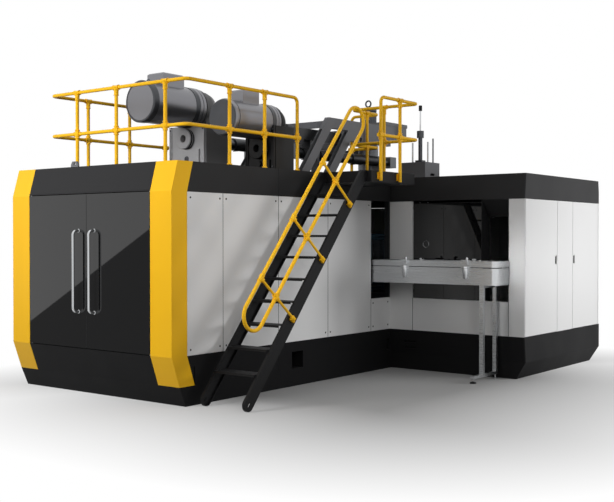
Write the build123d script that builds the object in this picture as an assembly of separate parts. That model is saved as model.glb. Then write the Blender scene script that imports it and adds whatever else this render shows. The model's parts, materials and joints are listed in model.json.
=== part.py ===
from build123d import *
import math
import os

os.makedirs("parts", exist_ok=True)

# Blow moulding machine, millimetres, +Z up.
# Origin: middle of the main cabinet's underside on the floor.
# The double-door front faces -Y, the long panelled side faces +X, and the
# blowing and outlet wing stands out in +X at the +Y end.

# Main cabinet
cabinet_width = 3160
cabinet_length = 7810
wing_from_front = 4890
roof_z = 3050
fold_top_z = 2670
fold_low_z = 630
bed_bottom_z = 250
top_lean = 107
skirt_lean = 134
plinth_lean = 244
panel = 25
seam = 4
post_face = 374
post_side = 269
post_sheet = 12
seam_1 = 927
seam_2 = 2059
seam_3 = 3211
bed_seam_depth = 3
conveyor_opening_before_wing = 544
conveyor_opening_sill_z = 1137
column = 80
deck_thickness = 20
lifting_eye_offset = 418
eye_plate_width = 150
eye_plate_height = 78
eye_plate_thickness = 24
eye_plate_hole = 20
bay_depth = 1300
partition_sheet = 10
fork_pocket_start = 2358
fork_pocket_width = 252
fork_pocket_height = 236
slot_before_wing = 90
slot_width = 76
slot_z = 300
slot_height = 170
slot_depth = 60

# Power pack behind the front doors
tank_x = -900
tank_length = 1200
tank_depth = 640
tank_height = 620
tank_corner = 30
tank_gap = 60
pump_radius = 150
pump_length = 440
pump_gap = 60
pump_foot_drop = 90
control_box_x = 500
control_box_width = 680
control_box_depth = 500
control_box_height = 1700

# Wing
wing_reach = 2340
wing_front_lean = 40
wing_back_lean = 50
wing_plinth_inset = 146
wing_column_share = 0.1838
wing_sill_z = 1140
window_share = 0.5141
mouth_share = 0.1932
mouth_depth = 210
mouth_drop = 250
mouth_taper = 32
mouth_sheet = 6
wing_door_left_share = 0.4021
wing_middle_share = 0.2092
wing_door_right_share = 0.377
wing_door_depth = 30
door_sheet = 4
wing_slot_x = 265
wing_slot_width = 216
wing_slot_height = 34
wing_slot_rise = 95
wing_slot_z = 332
wing_roof_joint = 90
blow_opening_half = 190
blow_opening_depth = 240
wing_corner_radius = 24

# Doors, pivots and latches
front_door_depth = 40
glass = 6
stile = 70
door_gap = 10
door_reveal = 10
pivot_in = 14
pivot_radius = 6
pivot_depth = 26
running_fit = 0.05
clearance = 0.3
handle_from_gap = 155
handle_low_z = 1117
handle_high_z = 2190
handle_stand_off = 94
handle_radius = 18
handle_bend = 60
latch_width = 60
latch_height = 136
latch_recess = 14
latch_edge = 48
latch_z = 1748
paddle_thickness = 8
paddle_pin_radius = 3
window_thickness = 16
pull_radius = 55
pull_depth = 6
pull_from_edge = 225
pull_z = 1993
track_depth = 30

# Stair, handrail and landing
stair_rise = 284
stair_going = 240
first_tread_z = 430
tread_count = 9
tread_depth = 225
tread_sheet = 6
tread_lip = 30
tread_nose_y = 575
stair_near_x = 860
stringer_depth = 165
stringer_web = 8
stringer_flange = 40
stair_width = 730
stringer_foot_y = 268
stringer_slot_length = 60
stringer_slot_width = 16
landing_start = 2952
landing_end = 4095
landing_width = 945
landing_top_z = 3040
landing_depth = 160
loop_start_y = 500
loop_start_z = 1165
loop_length = 3310
loop_radius = 188
loop_tube_radius = 24
loop_stand_off = 34
strut_first = 420
strut_pitch = 972
strut_reach = 838
strut_radius = 17
strut_pad = 70

# Guard rails
tube_radius = 24
bend_radius = 80
top_rail_z = 4080
knee_rail_z = 3515
landing_knee_z = 3545
foot_radius = 36
foot_thickness = 12
rail_side_inset = 36
rail_front = 300
rail_left_inset = 490
rail_side_posts = (1095, 1806, 2523)
rail_front_posts = (410, 1328, 2120)
rail_left_posts = (950, 1750, 2500)
clamp_thickness = 10
landing_rail_posts = (3136, 3638)
landing_post_c = 386
walk_rail_x = -205
walk_rail_to_wing = 25
walk_rail_post_gap = 325
walk_rail_end_x = -732

# Extruder drives: distance in from the long side, heights above the floor
main_drive = dict(x=-1747, bore_z=3560, motor_z=4022, motor_radius=297, cap_y=1110,
                  body_end=2160, plate_y=2050, plate_half=363, box_depth=500,
                  plate_top=3752, barrel_radius=72, screw_radius=45, box_length=420)
co_drive = dict(x=-480, bore_z=3363, motor_z=3742, motor_radius=255, cap_y=1442,
                body_end=2401, plate_y=2236, plate_half=267, box_depth=432,
                plate_top=3680, barrel_radius=58, screw_radius=32, box_length=336)
hub_radius = 148
hub_length = 90
hub_bore_radius = 56
drive_shaft_radius = 46
plate_thickness = 24
face_strip_width = 44
face_strip_depth = 18
face_slot_width = 14
face_slot_margin = 60
ledge_depth = 30
ledge_lift = 8
ledge_room = 12
port_radius = 48
port_height = 95
throat_cap = 60
throat_gap = 40
throat_length = 280
terminal_height = 140
motor_ring = 60
bell_length = 190
cap_depth = 70
cap_gap = 18
heater_bands = 5
heater_length = 300
first_heater = 500
last_heater_room = 200
heater_thickness = 26

# Die head, its support frame and the duct
head_x = -900
head_behind_wing_front = 710
head_radius = 175
head_bottom_z = 2700
die_neck_height = 260
die_shoulder = 30
beam_outer = 650
beam_width = 80
beam_top_z = 3925
beam_split_z = 3765
beam_low_z = 3604
beam_past_head = 260
near_beam_short = 458
low_beam_short = 300
beam_holes = (3968, 4483)
beam_hole_drop = 55
beam_hole_radius = 24
low_beam_hole = 4427
low_beam_hole_rise = 44
low_beam_hole_radius = 38
tie_places = (3700, 5000)
tie_width = 60
tie_margin = 30
leg_foot_1 = 2883
leg_foot_2 = 3508
leg_width = 200
leg_angle = 51.5
leg_wall = 12
servo_radius = 145
servo_height = 535
eye_radius = 52
eye_wire = 14
head_plate = 40
ring_radius = 260
ring_low_z = 3430
ring_high_z = 3480
lever_radius = 14
lever_length = 420
ball_radius = 50
melt_pipe_radius = 55
melt_block = 180
box_past_head = 235
box_half_width = 170
box_high_z = 3949
box_corner = 60
lid_height = 51
mandrel_radius = 40
mandrel_drop = 60
mandrel_lip = 14
die_bore_radius = 41
duct_x = -480
duct_width = 150
duct_split_z = 3566
duct_high_z = 3728
duct_start = 2705
duct_end = 4250
duct_drop_end = 3150
saddle_from_start = 595
saddle_from_end = 200
saddle_thickness = 12
head_opening_half = 420

# Blow station
blow_x = 140
blow_box_half = 230
blow_box_wall = 12
blow_box_height = 280
blow_window_width = 130
blow_window_height = 40
blow_window_z = 3110
cylinder_radius = 34
cylinder_flange_half = 62
cylinder_flange = 45
cylinder_height = 416
collar_radius = 58
collar_height = 115
rod_radius = 12
rod_cap_radius = 26
rod_reach = 336
rod_cap_height = 84
guide_rod_radius = 15
guide_rod_rise = 342
guide_rod_offset = 146
sensor_rod_rise = 402
sensor_rod_offset = 218
sensor_rod_radius = 12
crosshead_z = 2560
crosshead_thickness = 50
crosshead_margin = 40
crosshead_half_depth = 60
blow_pin_radius = 14
blow_pin_length = 330
blow_pin_tip = 20
blow_pin_seat = 50
blow_pin_seat_radius = 34

# Clamp unit under the die head
table_top_z = 1180
table_bottom_z = 1100
rail_gauge = 460
rail_width = 40
rail_height = 40
carriage_height = 50
carriage_half_x = 300
carriage_half_y = 560
carriage_travel = 1040
platen_thickness = 90
platen_half = 240
platen_low_z = 1420
platen_high_z = 2160
platen_open = 200
mould_thickness = 150
mould_half_width = 170
mould_low_z = 1500
mould_high_z = 2060
bottle_radius = 90
bottle_height = 300
bottle_base = 70
neck_radius = 28
tie_bar_radius = 25
tie_bar_inset = 50
end_plate_thickness = 60
ram_radius = 60
ram_length = 280

# Outlet conveyor
belt_width = 400
belt_top_z = 1660
belt_thickness = 8
roller_radius = 60
shaft_radius = 12
conveyor_start = -620
conveyor_end = 2135
conveyor_to_wing = 25
conveyor_width = 480
skirt_low_z = 1402
skirt_high_z = 1648
guide_low_z = 1662
guide_high_z = 1752
skirt_sheet = 4
skirt_corner = 70
leg_x = 1900
inner_leg_x = -500
leg_size = 60
leg_low_z = 70
foot_bar_height = 40
foot_bar_reach = 270
near_foot_out = 244
levelling_radius = 10
pad_radius = 45
pad_thickness = 15
bracket_places = (600, 1645)
bracket_width = 150
bracket_low_z = 1475
bracket_high_z = 1700
knob_places = (912, 1872)
knob_radius = 24
knob_stem_radius = 7

# Sizes that follow from others
wing_column = wing_column_share * wing_reach
window_width = window_share * wing_reach
mouth_width = mouth_share * wing_reach
blow_box_top_z = roof_z + blow_box_height
cylinder_top_z = blow_box_top_z + cylinder_height
collar_top_z = cylinder_top_z + collar_height
rod_cap_low_z = collar_top_z + rod_reach
rod_cap_top_z = rod_cap_low_z + rod_cap_height
guide_rod_top_z = blow_box_top_z + guide_rod_rise
sensor_rod_top_z = blow_box_top_z + sensor_rod_rise
wing_clear = cabinet_length - wing_from_front - 2 * panel - 4 * door_gap
wing_door_left = wing_door_left_share * wing_clear
wing_middle = wing_middle_share * wing_clear
wing_door_right = wing_door_right_share * wing_clear
head_y = wing_from_front + head_behind_wing_front
servo_top_z = beam_split_z + servo_height
conveyor_opening_start = wing_from_front - conveyor_opening_before_wing
slot_start = wing_from_front - slot_before_wing
conveyor_far_y = wing_from_front - conveyor_to_wing
conveyor_near_y = conveyor_far_y - conveyor_width
walk_rail_turn_y = wing_from_front - walk_rail_to_wing
walk_rail_post = walk_rail_turn_y - walk_rail_post_gap

# Reference planes
side_x = cabinet_width / 2
far_x = -side_x
front_y = -cabinet_length / 2
back_y = cabinet_length / 2
wing_y = front_y + wing_from_front
wing_x = side_x + wing_reach
opening_y = front_y + conveyor_opening_start
deck_z = roof_z - deck_thickness
bed_pocket_z = bed_bottom_z + fork_pocket_height


def from_front(distance):
    """Y of a point at a distance behind the front fold."""
    return front_y + distance


def from_side(distance):
    """X of a point at a distance outside (+) or inside (-) the long side."""
    return side_x + distance


def lean(z, top=top_lean, skirt=skirt_lean):
    """How far the folded front stands back at height z."""
    if z > fold_top_z:
        return top * (z - fold_top_z) / (roof_z - fold_top_z)
    if z < fold_low_z:
        return skirt * (fold_low_z - z) / (fold_low_z - bed_bottom_z)
    return 0


def block(x0, x1, y0, y1, z0, z1):
    """Box between two corners."""
    return Pos((x0 + x1) / 2, (y0 + y1) / 2, (z0 + z1) / 2) * Box(x1 - x0, y1 - y0, z1 - z0)


def side_prism(points, x0, x1):
    """Polygon of (y, z) points carried along X."""
    return extrude(Plane.YZ.offset(x0) * Polygon(*points, align=None), x1 - x0, dir=(1, 0, 0))


def front_prism(points, y0, y1):
    """Polygon of (x, z) points carried along Y."""
    return extrude(Plane.XZ.offset(-y0) * Polygon(*points, align=None), y1 - y0, dir=(0, 1, 0))


def plan_prism(points, z0, z1):
    """Polygon of (x, y) points carried up Z."""
    return extrude(Plane.XY.offset(z0) * Polygon(*points, align=None), z1 - z0, dir=(0, 0, 1))


def rod(start, end, radius):
    """Round bar between two points."""
    a, b = Vector(*start), Vector(*end)
    plane = Plane(origin=a, z_dir=b - a)
    return extrude(plane * Circle(radius), (b - a).length)


def turned(points, origin, direction):
    """Solid of revolution: (radius, distance along the axis) points about a line."""
    axis_plane = Plane(origin=origin, z_dir=direction)
    section = Plane(origin=origin, x_dir=axis_plane.x_dir, z_dir=-axis_plane.y_dir)
    face = section * Polygon(*points, align=None)
    return revolve(face, Axis(origin, direction))


def bend(corner, toward_start, toward_end, radius, tube):
    """Quarter bend of round tube at a corner, between two straight runs."""
    c, a, b = Vector(*corner), Vector(*toward_start), Vector(*toward_end)
    start, end, centre = c + a * radius, c + b * radius, c + (a + b) * radius
    middle = centre - (a + b).normalized() * radius
    arc = ThreePointArc(start, middle, end)
    return sweep(Plane(origin=start, z_dir=-a) * Circle(tube), path=arc)


def solids_of(pieces):
    """Every solid in a nested list of shapes."""
    found = []
    for piece in pieces:
        if isinstance(piece, (list, tuple)):
            found += solids_of(piece)
        else:
            found += list(piece.solids())
    return found


nodes = {}


def node(name, *pieces):
    """Keep the solids of one named piece, or add them to one set of like pieces."""
    nodes.setdefault(name, [])
    nodes[name] += solids_of(pieces)


# Plinths and beds
def main_base():
    plinth = side_prism([(from_front(plinth_lean), 0), (back_y, 0), (back_y, bed_bottom_z),
                         (from_front(skirt_lean), bed_bottom_z)], far_x, side_x)
    node("plinths", plinth)

    pocket_0 = from_front(fork_pocket_start)
    pocket_1 = pocket_0 + fork_pocket_width
    inner_front = from_front(skirt_lean + post_sheet)
    post_cut_x = post_face + seam
    post_cut_y = from_front(post_side + skirt_lean + seam)
    middle = side_prism([(from_front(skirt_lean), bed_bottom_z), (pocket_0, bed_bottom_z),
                         (pocket_0, bed_pocket_z), (from_front(lean(bed_pocket_z)), bed_pocket_z)],
                        far_x + post_cut_x, side_x - post_cut_x)
    flanks = [block(far_x + post_sheet, far_x + post_cut_x, inner_front, pocket_0, bed_bottom_z, bed_pocket_z),
              block(side_x - post_cut_x, side_x - post_sheet, inner_front, pocket_0, bed_bottom_z, bed_pocket_z)]
    outer = [block(far_x, far_x + post_sheet, post_cut_y, pocket_0, bed_bottom_z, bed_pocket_z),
             block(side_x - post_sheet, side_x, post_cut_y, pocket_0, bed_bottom_z, bed_pocket_z)]
    slot_0 = from_front(slot_start)
    slot = block(side_x - slot_depth, side_x + 1, slot_0, slot_0 + slot_width, slot_z, slot_z + slot_height)
    rear = block(far_x, side_x, pocket_1, back_y, bed_bottom_z, bed_pocket_z) - slot
    top = side_prism([(from_front(lean(bed_pocket_z)), bed_pocket_z), (back_y, bed_pocket_z),
                      (back_y, fold_low_z), (front_y, fold_low_z)],
                     far_x + post_cut_x, side_x - post_cut_x)
    top_flanks = [block(far_x + post_sheet, far_x + post_cut_x, inner_front, back_y, bed_pocket_z, fold_low_z),
                  block(side_x - post_cut_x, side_x - post_sheet, inner_front, back_y, bed_pocket_z, fold_low_z)]
    edge = [(from_front(post_side + lean(bed_pocket_z) + seam), bed_pocket_z), (back_y, bed_pocket_z),
            (back_y, fold_low_z), (from_front(post_side + seam), fold_low_z)]
    edges = [side_prism(edge, far_x, far_x + post_sheet), side_prism(edge, side_x - post_sheet, side_x)]
    groove = block(side_x - bed_seam_depth, side_x + 1, from_front(seam_2), from_front(seam_2 + seam),
                   bed_bottom_z, fold_low_z)
    outer[1] -= groove
    edges[1] -= groove
    node("welded_bed", middle, flanks, outer, rear, top, top_flanks, edges)


def round_wing_corner(piece):
    """Round the upright edge where the wing's front meets its end."""
    edge = piece.edges().filter_by(lambda e: abs(e.center().X - wing_x) < 1
                                   and abs(e.center().Y - wing_y) < wing_front_lean)
    upright = edge.sort_by(lambda e: abs(e.tangent_at(0.5).Z))[-1]
    return fillet(upright, wing_corner_radius)


def wing_base():
    top = Plane.XY.offset(bed_bottom_z) * Pos((side_x + wing_x) / 2, (wing_y + wing_front_lean + back_y) / 2) \
        * Rectangle(wing_reach, back_y - wing_y - wing_front_lean)
    reach = wing_reach - wing_plinth_inset
    low = Plane.XY * Pos(side_x + reach / 2, (wing_y + wing_front_lean + back_y - wing_back_lean) / 2) \
        * Rectangle(reach, back_y - wing_back_lean - wing_y - wing_front_lean)
    node("plinths", loft([low.face(), top.face()]))
    bed = side_prism([(wing_y + wing_front_lean, bed_bottom_z), (back_y, bed_bottom_z),
                      (back_y, fold_low_z), (wing_y, fold_low_z)], side_x, wing_x)
    for row in range(2):
        z = wing_slot_z + row * wing_slot_rise
        bed -= block(from_side(wing_slot_x), from_side(wing_slot_x + wing_slot_width),
                     wing_y - 1, wing_y + slot_depth, z, z + wing_slot_height)
    node("welded_bed", round_wing_corner(bed))


# Folded corner posts
def corner_post(x_out, x_in):
    """Yellow post folded from one sheet: a wide front face and a side return."""
    heights = (roof_z, fold_top_z, fold_low_z, bed_bottom_z)
    outer = [(from_front(lean(z)), z) for z in heights]
    inner = [(from_front(lean(z) + post_sheet), z) for z in reversed(heights)]
    back = [(from_front(lean(z) + post_side), z) for z in reversed(heights)]
    face = side_prism(outer + inner, min(x_out, x_in), max(x_out, x_in))
    step = post_sheet if x_out < x_in else -post_sheet
    cheek = side_prism(outer + back, min(x_out, x_out + step), max(x_out, x_out + step))
    return face + cheek


def posts():
    node("corner_posts", corner_post(far_x, far_x + post_face))
    node("corner_posts", corner_post(side_x, side_x - post_face))


# Skin of the main cabinet
def side_skin(x_out, x_in, openings_here):
    """White panels of one long side, with the dark band above them."""
    x0, x1 = min(x_out, x_in), max(x_out, x_in)
    seams = [post_side, seam_1, seam_2, seam_3, conveyor_opening_start]
    if not openings_here:
        seams += [(conveyor_opening_start + cabinet_length) / 2, cabinet_length]
    white = []
    for start, end in zip(seams, seams[1:]):
        white.append(block(x0, x1, from_front(start + seam), from_front(end), fold_low_z, fold_top_z))
    if openings_here:
        white.append(block(x0, x1, opening_y + seam, wing_y, fold_low_z, conveyor_opening_sill_z))
    band_end = wing_from_front if openings_here else cabinet_length
    first = side_prism([(from_front(post_side + seam), fold_top_z + seam),
                        (from_front(seam_2), fold_top_z + seam), (from_front(seam_2), roof_z),
                        (from_front(post_side + top_lean + seam), roof_z)], x0, x1)
    second = block(x0, x1, from_front(seam_2 + seam), from_front(band_end), fold_top_z + seam, roof_z)
    return white, [first, second]


def skins():
    near_white, near_band = side_skin(side_x, side_x - panel, True)
    far_white, far_band = side_skin(far_x, far_x + panel, False)
    node("side_panels", near_white)
    node("far_and_rear_panels", far_white)
    fascia = side_prism([(from_front(top_lean), roof_z), (front_y, fold_top_z + door_reveal),
                         (from_front(panel), fold_top_z + door_reveal), (from_front(top_lean + panel), roof_z)],
                        far_x + post_face + seam, side_x - post_face - seam)
    node("fascias", fascia)
    rear_band = block(far_x + panel, wing_x - panel, back_y - panel, back_y, fold_top_z + seam, roof_z)
    node("fascias", near_band, far_band, rear_band)
    bays = 6
    span = (wing_x - panel - far_x - panel) / bays
    rear = [block(far_x + panel + i * span + seam, far_x + panel + (i + 1) * span, back_y - panel, back_y,
                  fold_low_z, fold_top_z) for i in range(bays)]
    node("far_and_rear_panels", rear)


# Inner frame of square tube, roof deck and bay partition
def frame():
    x_near, x_far = side_x - panel, far_x + panel
    top = deck_z - column
    stations = [post_side + column / 2, seam_1, seam_2, seam_3, conveyor_opening_start - column / 2]
    near = [block(x_near - column, x_near, from_front(s) - column / 2, from_front(s) + column / 2, fold_low_z, top)
            for s in stations]
    far_stations = stations + [(conveyor_opening_start + cabinet_length) / 2]
    far = [block(x_far, x_far + column, from_front(s) - column / 2, from_front(s) + column / 2, fold_low_z, top)
           for s in far_stations]
    inner_corner = block(x_near - column, x_near, wing_y, wing_y + column, fold_low_z, top)
    back = back_y - panel
    rear = [block(x, x + column, back - column, back, fold_low_z, top)
            for x in (x_far, -column / 2, x_near - column)]
    node("frame", near, far, inner_corner, rear)
    front = from_front(top_lean + panel + 18)
    long_beams = [block(x_near - column, x_near, front, back, top, deck_z),
                  block(x_far, x_far + column, front, back, top, deck_z)]
    cross_at = [front, from_front(plate_cross(main_drive)), from_front(head_y - head_opening_half) - column,
                from_front(head_y + head_opening_half), back - column]
    cross = [block(x_far + column, x_near - column, y, y + column, top, deck_z) for y in cross_at]
    node("frame", long_beams, cross)
    low, high = from_front(head_y - head_opening_half), from_front(head_y + head_opening_half)
    left, right = from_side(head_x - head_opening_half), from_side(head_x + head_opening_half)
    edge = from_front(top_lean + panel)
    deck = [block(x_far, x_near, edge, low, deck_z, roof_z), block(x_far, x_near, high, back, deck_z, roof_z),
            block(x_far, left, low, high, deck_z, roof_z), block(right, x_near, low, high, deck_z, roof_z)]
    node("roof_deck", deck)
    wall_y = from_front(bay_depth)
    node("frame", block(x_far + column, x_near - column, wall_y, wall_y + partition_sheet, fold_low_z, top))
    pump = from_front(bay_depth) - tank_gap
    tank_top = fold_low_z + tank_height
    tank = block(tank_x, tank_x + tank_length, pump - tank_depth, pump, fold_low_z, tank_top)
    tank = fillet(tank.edges().filter_by(Axis.Z), tank_corner)
    node("power_pack", tank)
    r, length = pump_radius, pump_length
    motor_x, motor_y = tank_x + tank_length / 2, pump - tank_depth / 2
    shaft_z = tank_top + pump_gap + r
    body = turned([(0, 0), (r, 0), (r, length * 0.09), (r * 0.9, length * 0.12), (r * 0.9, length * 0.91),
                   (r * 0.47, length), (0, length)], (motor_x - length / 2, motor_y, shaft_z), (1, 0, 0))
    feet = block(motor_x - r, motor_x + r, motor_y - r * 0.67, motor_y + r * 0.67,
                 tank_top, shaft_z - pump_foot_drop)
    node("power_pack", body, feet - body)
    cabinet = block(control_box_x, control_box_x + control_box_width, pump - control_box_depth, pump,
                    fold_low_z, fold_low_z + control_box_height)
    node("power_pack", cabinet)


def plate_cross(drive):
    """Distance from the front fold to the beam under a gearbox."""
    return drive["plate_y"] + drive["box_depth"] / 2


# Front doors
def front_door(name, hinge_x, gap_x):
    """Tinted door on two pivot pins, with a bow handle near the middle gap."""
    sign = 1 if gap_x > hinge_x else -1
    x0, x1 = min(hinge_x, gap_x), max(hinge_x, gap_x)
    z0, z1 = fold_low_z + door_reveal, fold_top_z
    y0, y1, y2 = front_y, front_y + glass, front_y + front_door_depth
    pivot_x = hinge_x + sign * pivot_in
    pivot_y = y1 + pivot_in - glass + pivot_radius
    hinge_stile = block(min(hinge_x, hinge_x + sign * stile), max(hinge_x, hinge_x + sign * stile), y1, y2, z0, z1)
    for z in (z0, z1):
        start = z if z == z0 else z - pivot_depth
        hinge_stile -= rod((pivot_x, pivot_y, start), (pivot_x, pivot_y, start + pivot_depth),
                           pivot_radius + running_fit)
    free_stile = block(min(gap_x, gap_x - sign * stile), max(gap_x, gap_x - sign * stile), y1, y2, z0, z1)
    bars = [block(x0 + stile, x1 - stile, y1, y2, z0, z0 + stile),
            block(x0 + stile, x1 - stile, y1, y2, z1 - stile, z1)]
    node(name, hinge_stile, free_stile, bars)
    node(name + "_glass", block(x0, x1, y0, y1, z0, z1))
    x = gap_x - sign * handle_from_gap
    out = y0 - handle_stand_off
    path = FilletPolyline((x, y0, handle_low_z), (x, out, handle_low_z), (x, out, handle_high_z),
                          (x, y0, handle_high_z), radius=handle_bend)
    grip = sweep(Plane(origin=(x, y0, handle_low_z), z_dir=(0, -1, 0)) * Circle(handle_radius), path=path)
    node(name + "_handle", grip)
    return pivot_x, pivot_y


def front_doors():
    left_x = far_x + post_face + door_gap
    right_x = side_x - post_face - door_gap
    middle = (left_x + right_x) / 2
    pins = []
    for name, hinge_x, gap_x in (("front_door_left", left_x, middle - seam / 2),
                                 ("front_door_right", right_x, middle + seam / 2)):
        px, py = front_door(name, hinge_x, gap_x)
        low, high = fold_low_z + door_reveal, fold_top_z
        pins.append(rod((px, py, fold_low_z), (px, py, low + pivot_depth - 1), pivot_radius))
        pins.append(rod((px, py, high - pivot_depth + 1), (px, py, high + door_reveal), pivot_radius))
    node("door_pivots", pins)
    header = block(far_x + post_face + seam, side_x - post_face - seam, front_y, front_y + front_door_depth,
                   fold_top_z + door_reveal, fold_top_z + door_reveal + 20)
    fascia = nodes["fascias"][0]
    node("fascias", header - fascia)


# Wing skin
def wing_skin():
    band_points = [(wing_y, fold_top_z + seam), (wing_y + panel, fold_top_z + seam),
                   (wing_y + panel + wing_front_lean, roof_z), (wing_y + wing_front_lean, roof_z)]
    fascia = side_prism(band_points, side_x + clearance, wing_x - panel)
    end_band = side_prism([(wing_y, fold_top_z + seam), (back_y, fold_top_z + seam),
                           (back_y - wing_back_lean, roof_z), (wing_y + wing_front_lean, roof_z)],
                          wing_x - panel, wing_x)
    end_band -= block(wing_x - panel, wing_x, back_y - panel, back_y, fold_top_z, roof_z)
    node("fascias", fascia, round_wing_corner(end_band))
    x1 = from_side(wing_column)
    x2 = x1 + window_width
    x3 = x2 + mouth_width
    y0, y1 = wing_y, wing_y + panel
    left = block(side_x + clearance, x1 - seam, y0, y1, fold_low_z, fold_top_z)
    lower = block(x1, x3, y0, y1, fold_low_z, wing_sill_z)
    corner = round_wing_corner(block(x3 + seam, wing_x, y0, y1, fold_low_z, fold_top_z))
    end = wing_y + panel + door_gap
    middle_0 = end + wing_door_left + door_gap
    middle_1 = middle_0 + wing_middle
    right_end = middle_1 + door_gap + wing_door_right + door_gap
    middle = block(wing_x - panel, wing_x, middle_0, middle_1, fold_low_z, fold_top_z)
    rear_strip = block(wing_x - panel, wing_x, right_end, back_y - panel, fold_low_z, fold_top_z)
    node("wing_panels", left, lower, corner, middle, rear_strip)
    west, east = side_x - panel, from_side(blow_x + blow_opening_half)
    south, north = from_front(head_y) - blow_opening_depth / 2, from_front(head_y) + blow_opening_depth / 2
    low_y = wing_y + panel + wing_front_lean
    roof = [block(side_x, wing_x - panel, low_y, wing_y + wing_roof_joint, deck_z, roof_z),
            block(west, wing_x - panel, wing_y + wing_roof_joint, south, deck_z, roof_z),
            block(west, wing_x - panel, north, back_y - panel, deck_z, roof_z),
            block(east, wing_x - panel, south, north, deck_z, roof_z)]
    node("roof_deck", roof)
    inside_x = wing_x - wing_door_depth - 10
    cols = [block(inside_x - column, inside_x, y, y + column, fold_low_z, deck_z)
            for y in (low_y + seam, middle_0 + (wing_middle - column) / 2, back_y - panel - column)]
    node("frame", cols)
    return (end, middle_1, right_end), (x1, x2, x3)


def outlet_mouth(x2, x3):
    """Bevelled sheet surround: the ceiling drops and the left cheek turns in."""
    y0, y1 = wing_y, wing_y + mouth_depth
    top_out, top_in = fold_top_z, fold_top_z - mouth_drop
    s = mouth_sheet
    ceiling = side_prism([(y0, top_out - s), (y0, top_out), (y1, top_in), (y1, top_in - s)],
                         x2 + seam, x3)
    cheek = plan_prism([(x2 + seam, y0), (x2 + seam + s, y0), (x2 + seam + mouth_taper + s, y1),
                        (x2 + seam + mouth_taper, y1)], wing_sill_z, top_in - s)
    wedge = side_prism([(y0, top_out - s), (y1, top_in - s), (y0, top_in - s)],
                       x2 + seam, x2 + seam + s)
    right = block(x3 - s, x3, y0, y1, wing_sill_z, top_in - s)
    right_wedge = side_prism([(y0, top_out - s), (y1, top_in - s), (y0, top_in - s)], x3 - s, x3)
    sill = block(x2 + seam + mouth_taper + s, x3 - s, y0 + panel, y1, wing_sill_z - s, wing_sill_z)
    node("outlet_mouth", ceiling, cheek, wedge, right, right_wedge, sill)


def safety_window(x1, x2):
    """Dark sliding window with a round recessed pull, on two tracks."""
    y0 = wing_y + panel + clearance
    y1 = y0 + window_thickness
    z0, z1 = wing_sill_z - 30, fold_top_z - 40
    pane = block(x1 + seam, x2 - seam, y0, y1, z0, z1)
    pull = rod((x1 + pull_from_edge, y0 - 1, pull_z), (x1 + pull_from_edge, y0 + pull_depth, pull_z), pull_radius)
    node("safety_window", pane - pull)
    track_x0, track_x1 = side_x + clearance, x2
    lip = 6
    low = block(track_x0, track_x1, y0, y0 + track_depth, z0 - clearance - lip, z0 - clearance)
    high = block(track_x0, track_x1, y0, y0 + track_depth, z1 + clearance, z1 + clearance + lip)
    node("outlet_mouth", low, high)


def wing_door(name, y_hinge, y_free):
    """Folded tray door with a recessed paddle latch on its free edge."""
    sign = 1 if y_free > y_hinge else -1
    y0, y1 = min(y_hinge, y_free), max(y_hinge, y_free)
    x0, x1 = wing_x - wing_door_depth, wing_x
    z0, z1 = fold_low_z + seam, fold_top_z
    tray = block(x0, x1, y0, y1, z0, z1)
    tray -= block(x0 - 1, x1 - latch_recess - door_sheet, y0 + 24, y1 - 24, z0 + 24, z1 - 24)
    centre = y_free - sign * latch_edge
    tray -= block(x1 - latch_recess, x1 + 1, centre - latch_width / 2, centre + latch_width / 2,
                  latch_z - latch_height / 2, latch_z + latch_height / 2)
    px, py = x1 - pivot_in, y_hinge + sign * pivot_in
    for low in (z0, z1 - pivot_depth):
        tray -= rod((px, py, low), (px, py, low + pivot_depth), pivot_radius + running_fit)
    paddle_top = latch_z + latch_height / 2 - 10
    pin_x = x1 - latch_recess / 2
    paddle = block(pin_x - paddle_thickness / 2, pin_x + paddle_thickness / 2, centre - latch_width / 2 + 5,
                   centre + latch_width / 2 - 5, latch_z - latch_height / 2 + 6, paddle_top)
    pin_z = paddle_top - paddle_thickness / 2 - 1
    hole = rod((pin_x, centre - latch_width, pin_z), (pin_x, centre + latch_width, pin_z),
               paddle_pin_radius + running_fit)
    pin = rod((pin_x, centre - latch_width / 2, pin_z), (pin_x, centre + latch_width / 2, pin_z), paddle_pin_radius)
    paddle = fillet(paddle.edges().filter_by(Axis.Y), paddle_thickness * 0.3)
    node(name, tray)
    node(name + "_latch", paddle - hole)
    node(name, pin)
    return px, py


def wing_doors(end, middle_1, right_end):
    pins = []
    for name, hinge, free in (("wing_door_left", end, end + wing_door_left),
                              ("wing_door_right", right_end - door_gap, middle_1 + door_gap)):
        px, py = wing_door(name, hinge, free)
        pins.append(rod((px, py, fold_low_z), (px, py, fold_low_z + seam + pivot_depth - 1), pivot_radius))
        pins.append(rod((px, py, fold_top_z - pivot_depth + 1), (px, py, fold_top_z + seam), pivot_radius))
    node("door_pivots", pins)


# Stair
stair_slope = math.atan2(stair_rise, stair_going)
slope_y, slope_z = math.cos(stair_slope), math.sin(stair_slope)


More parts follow.
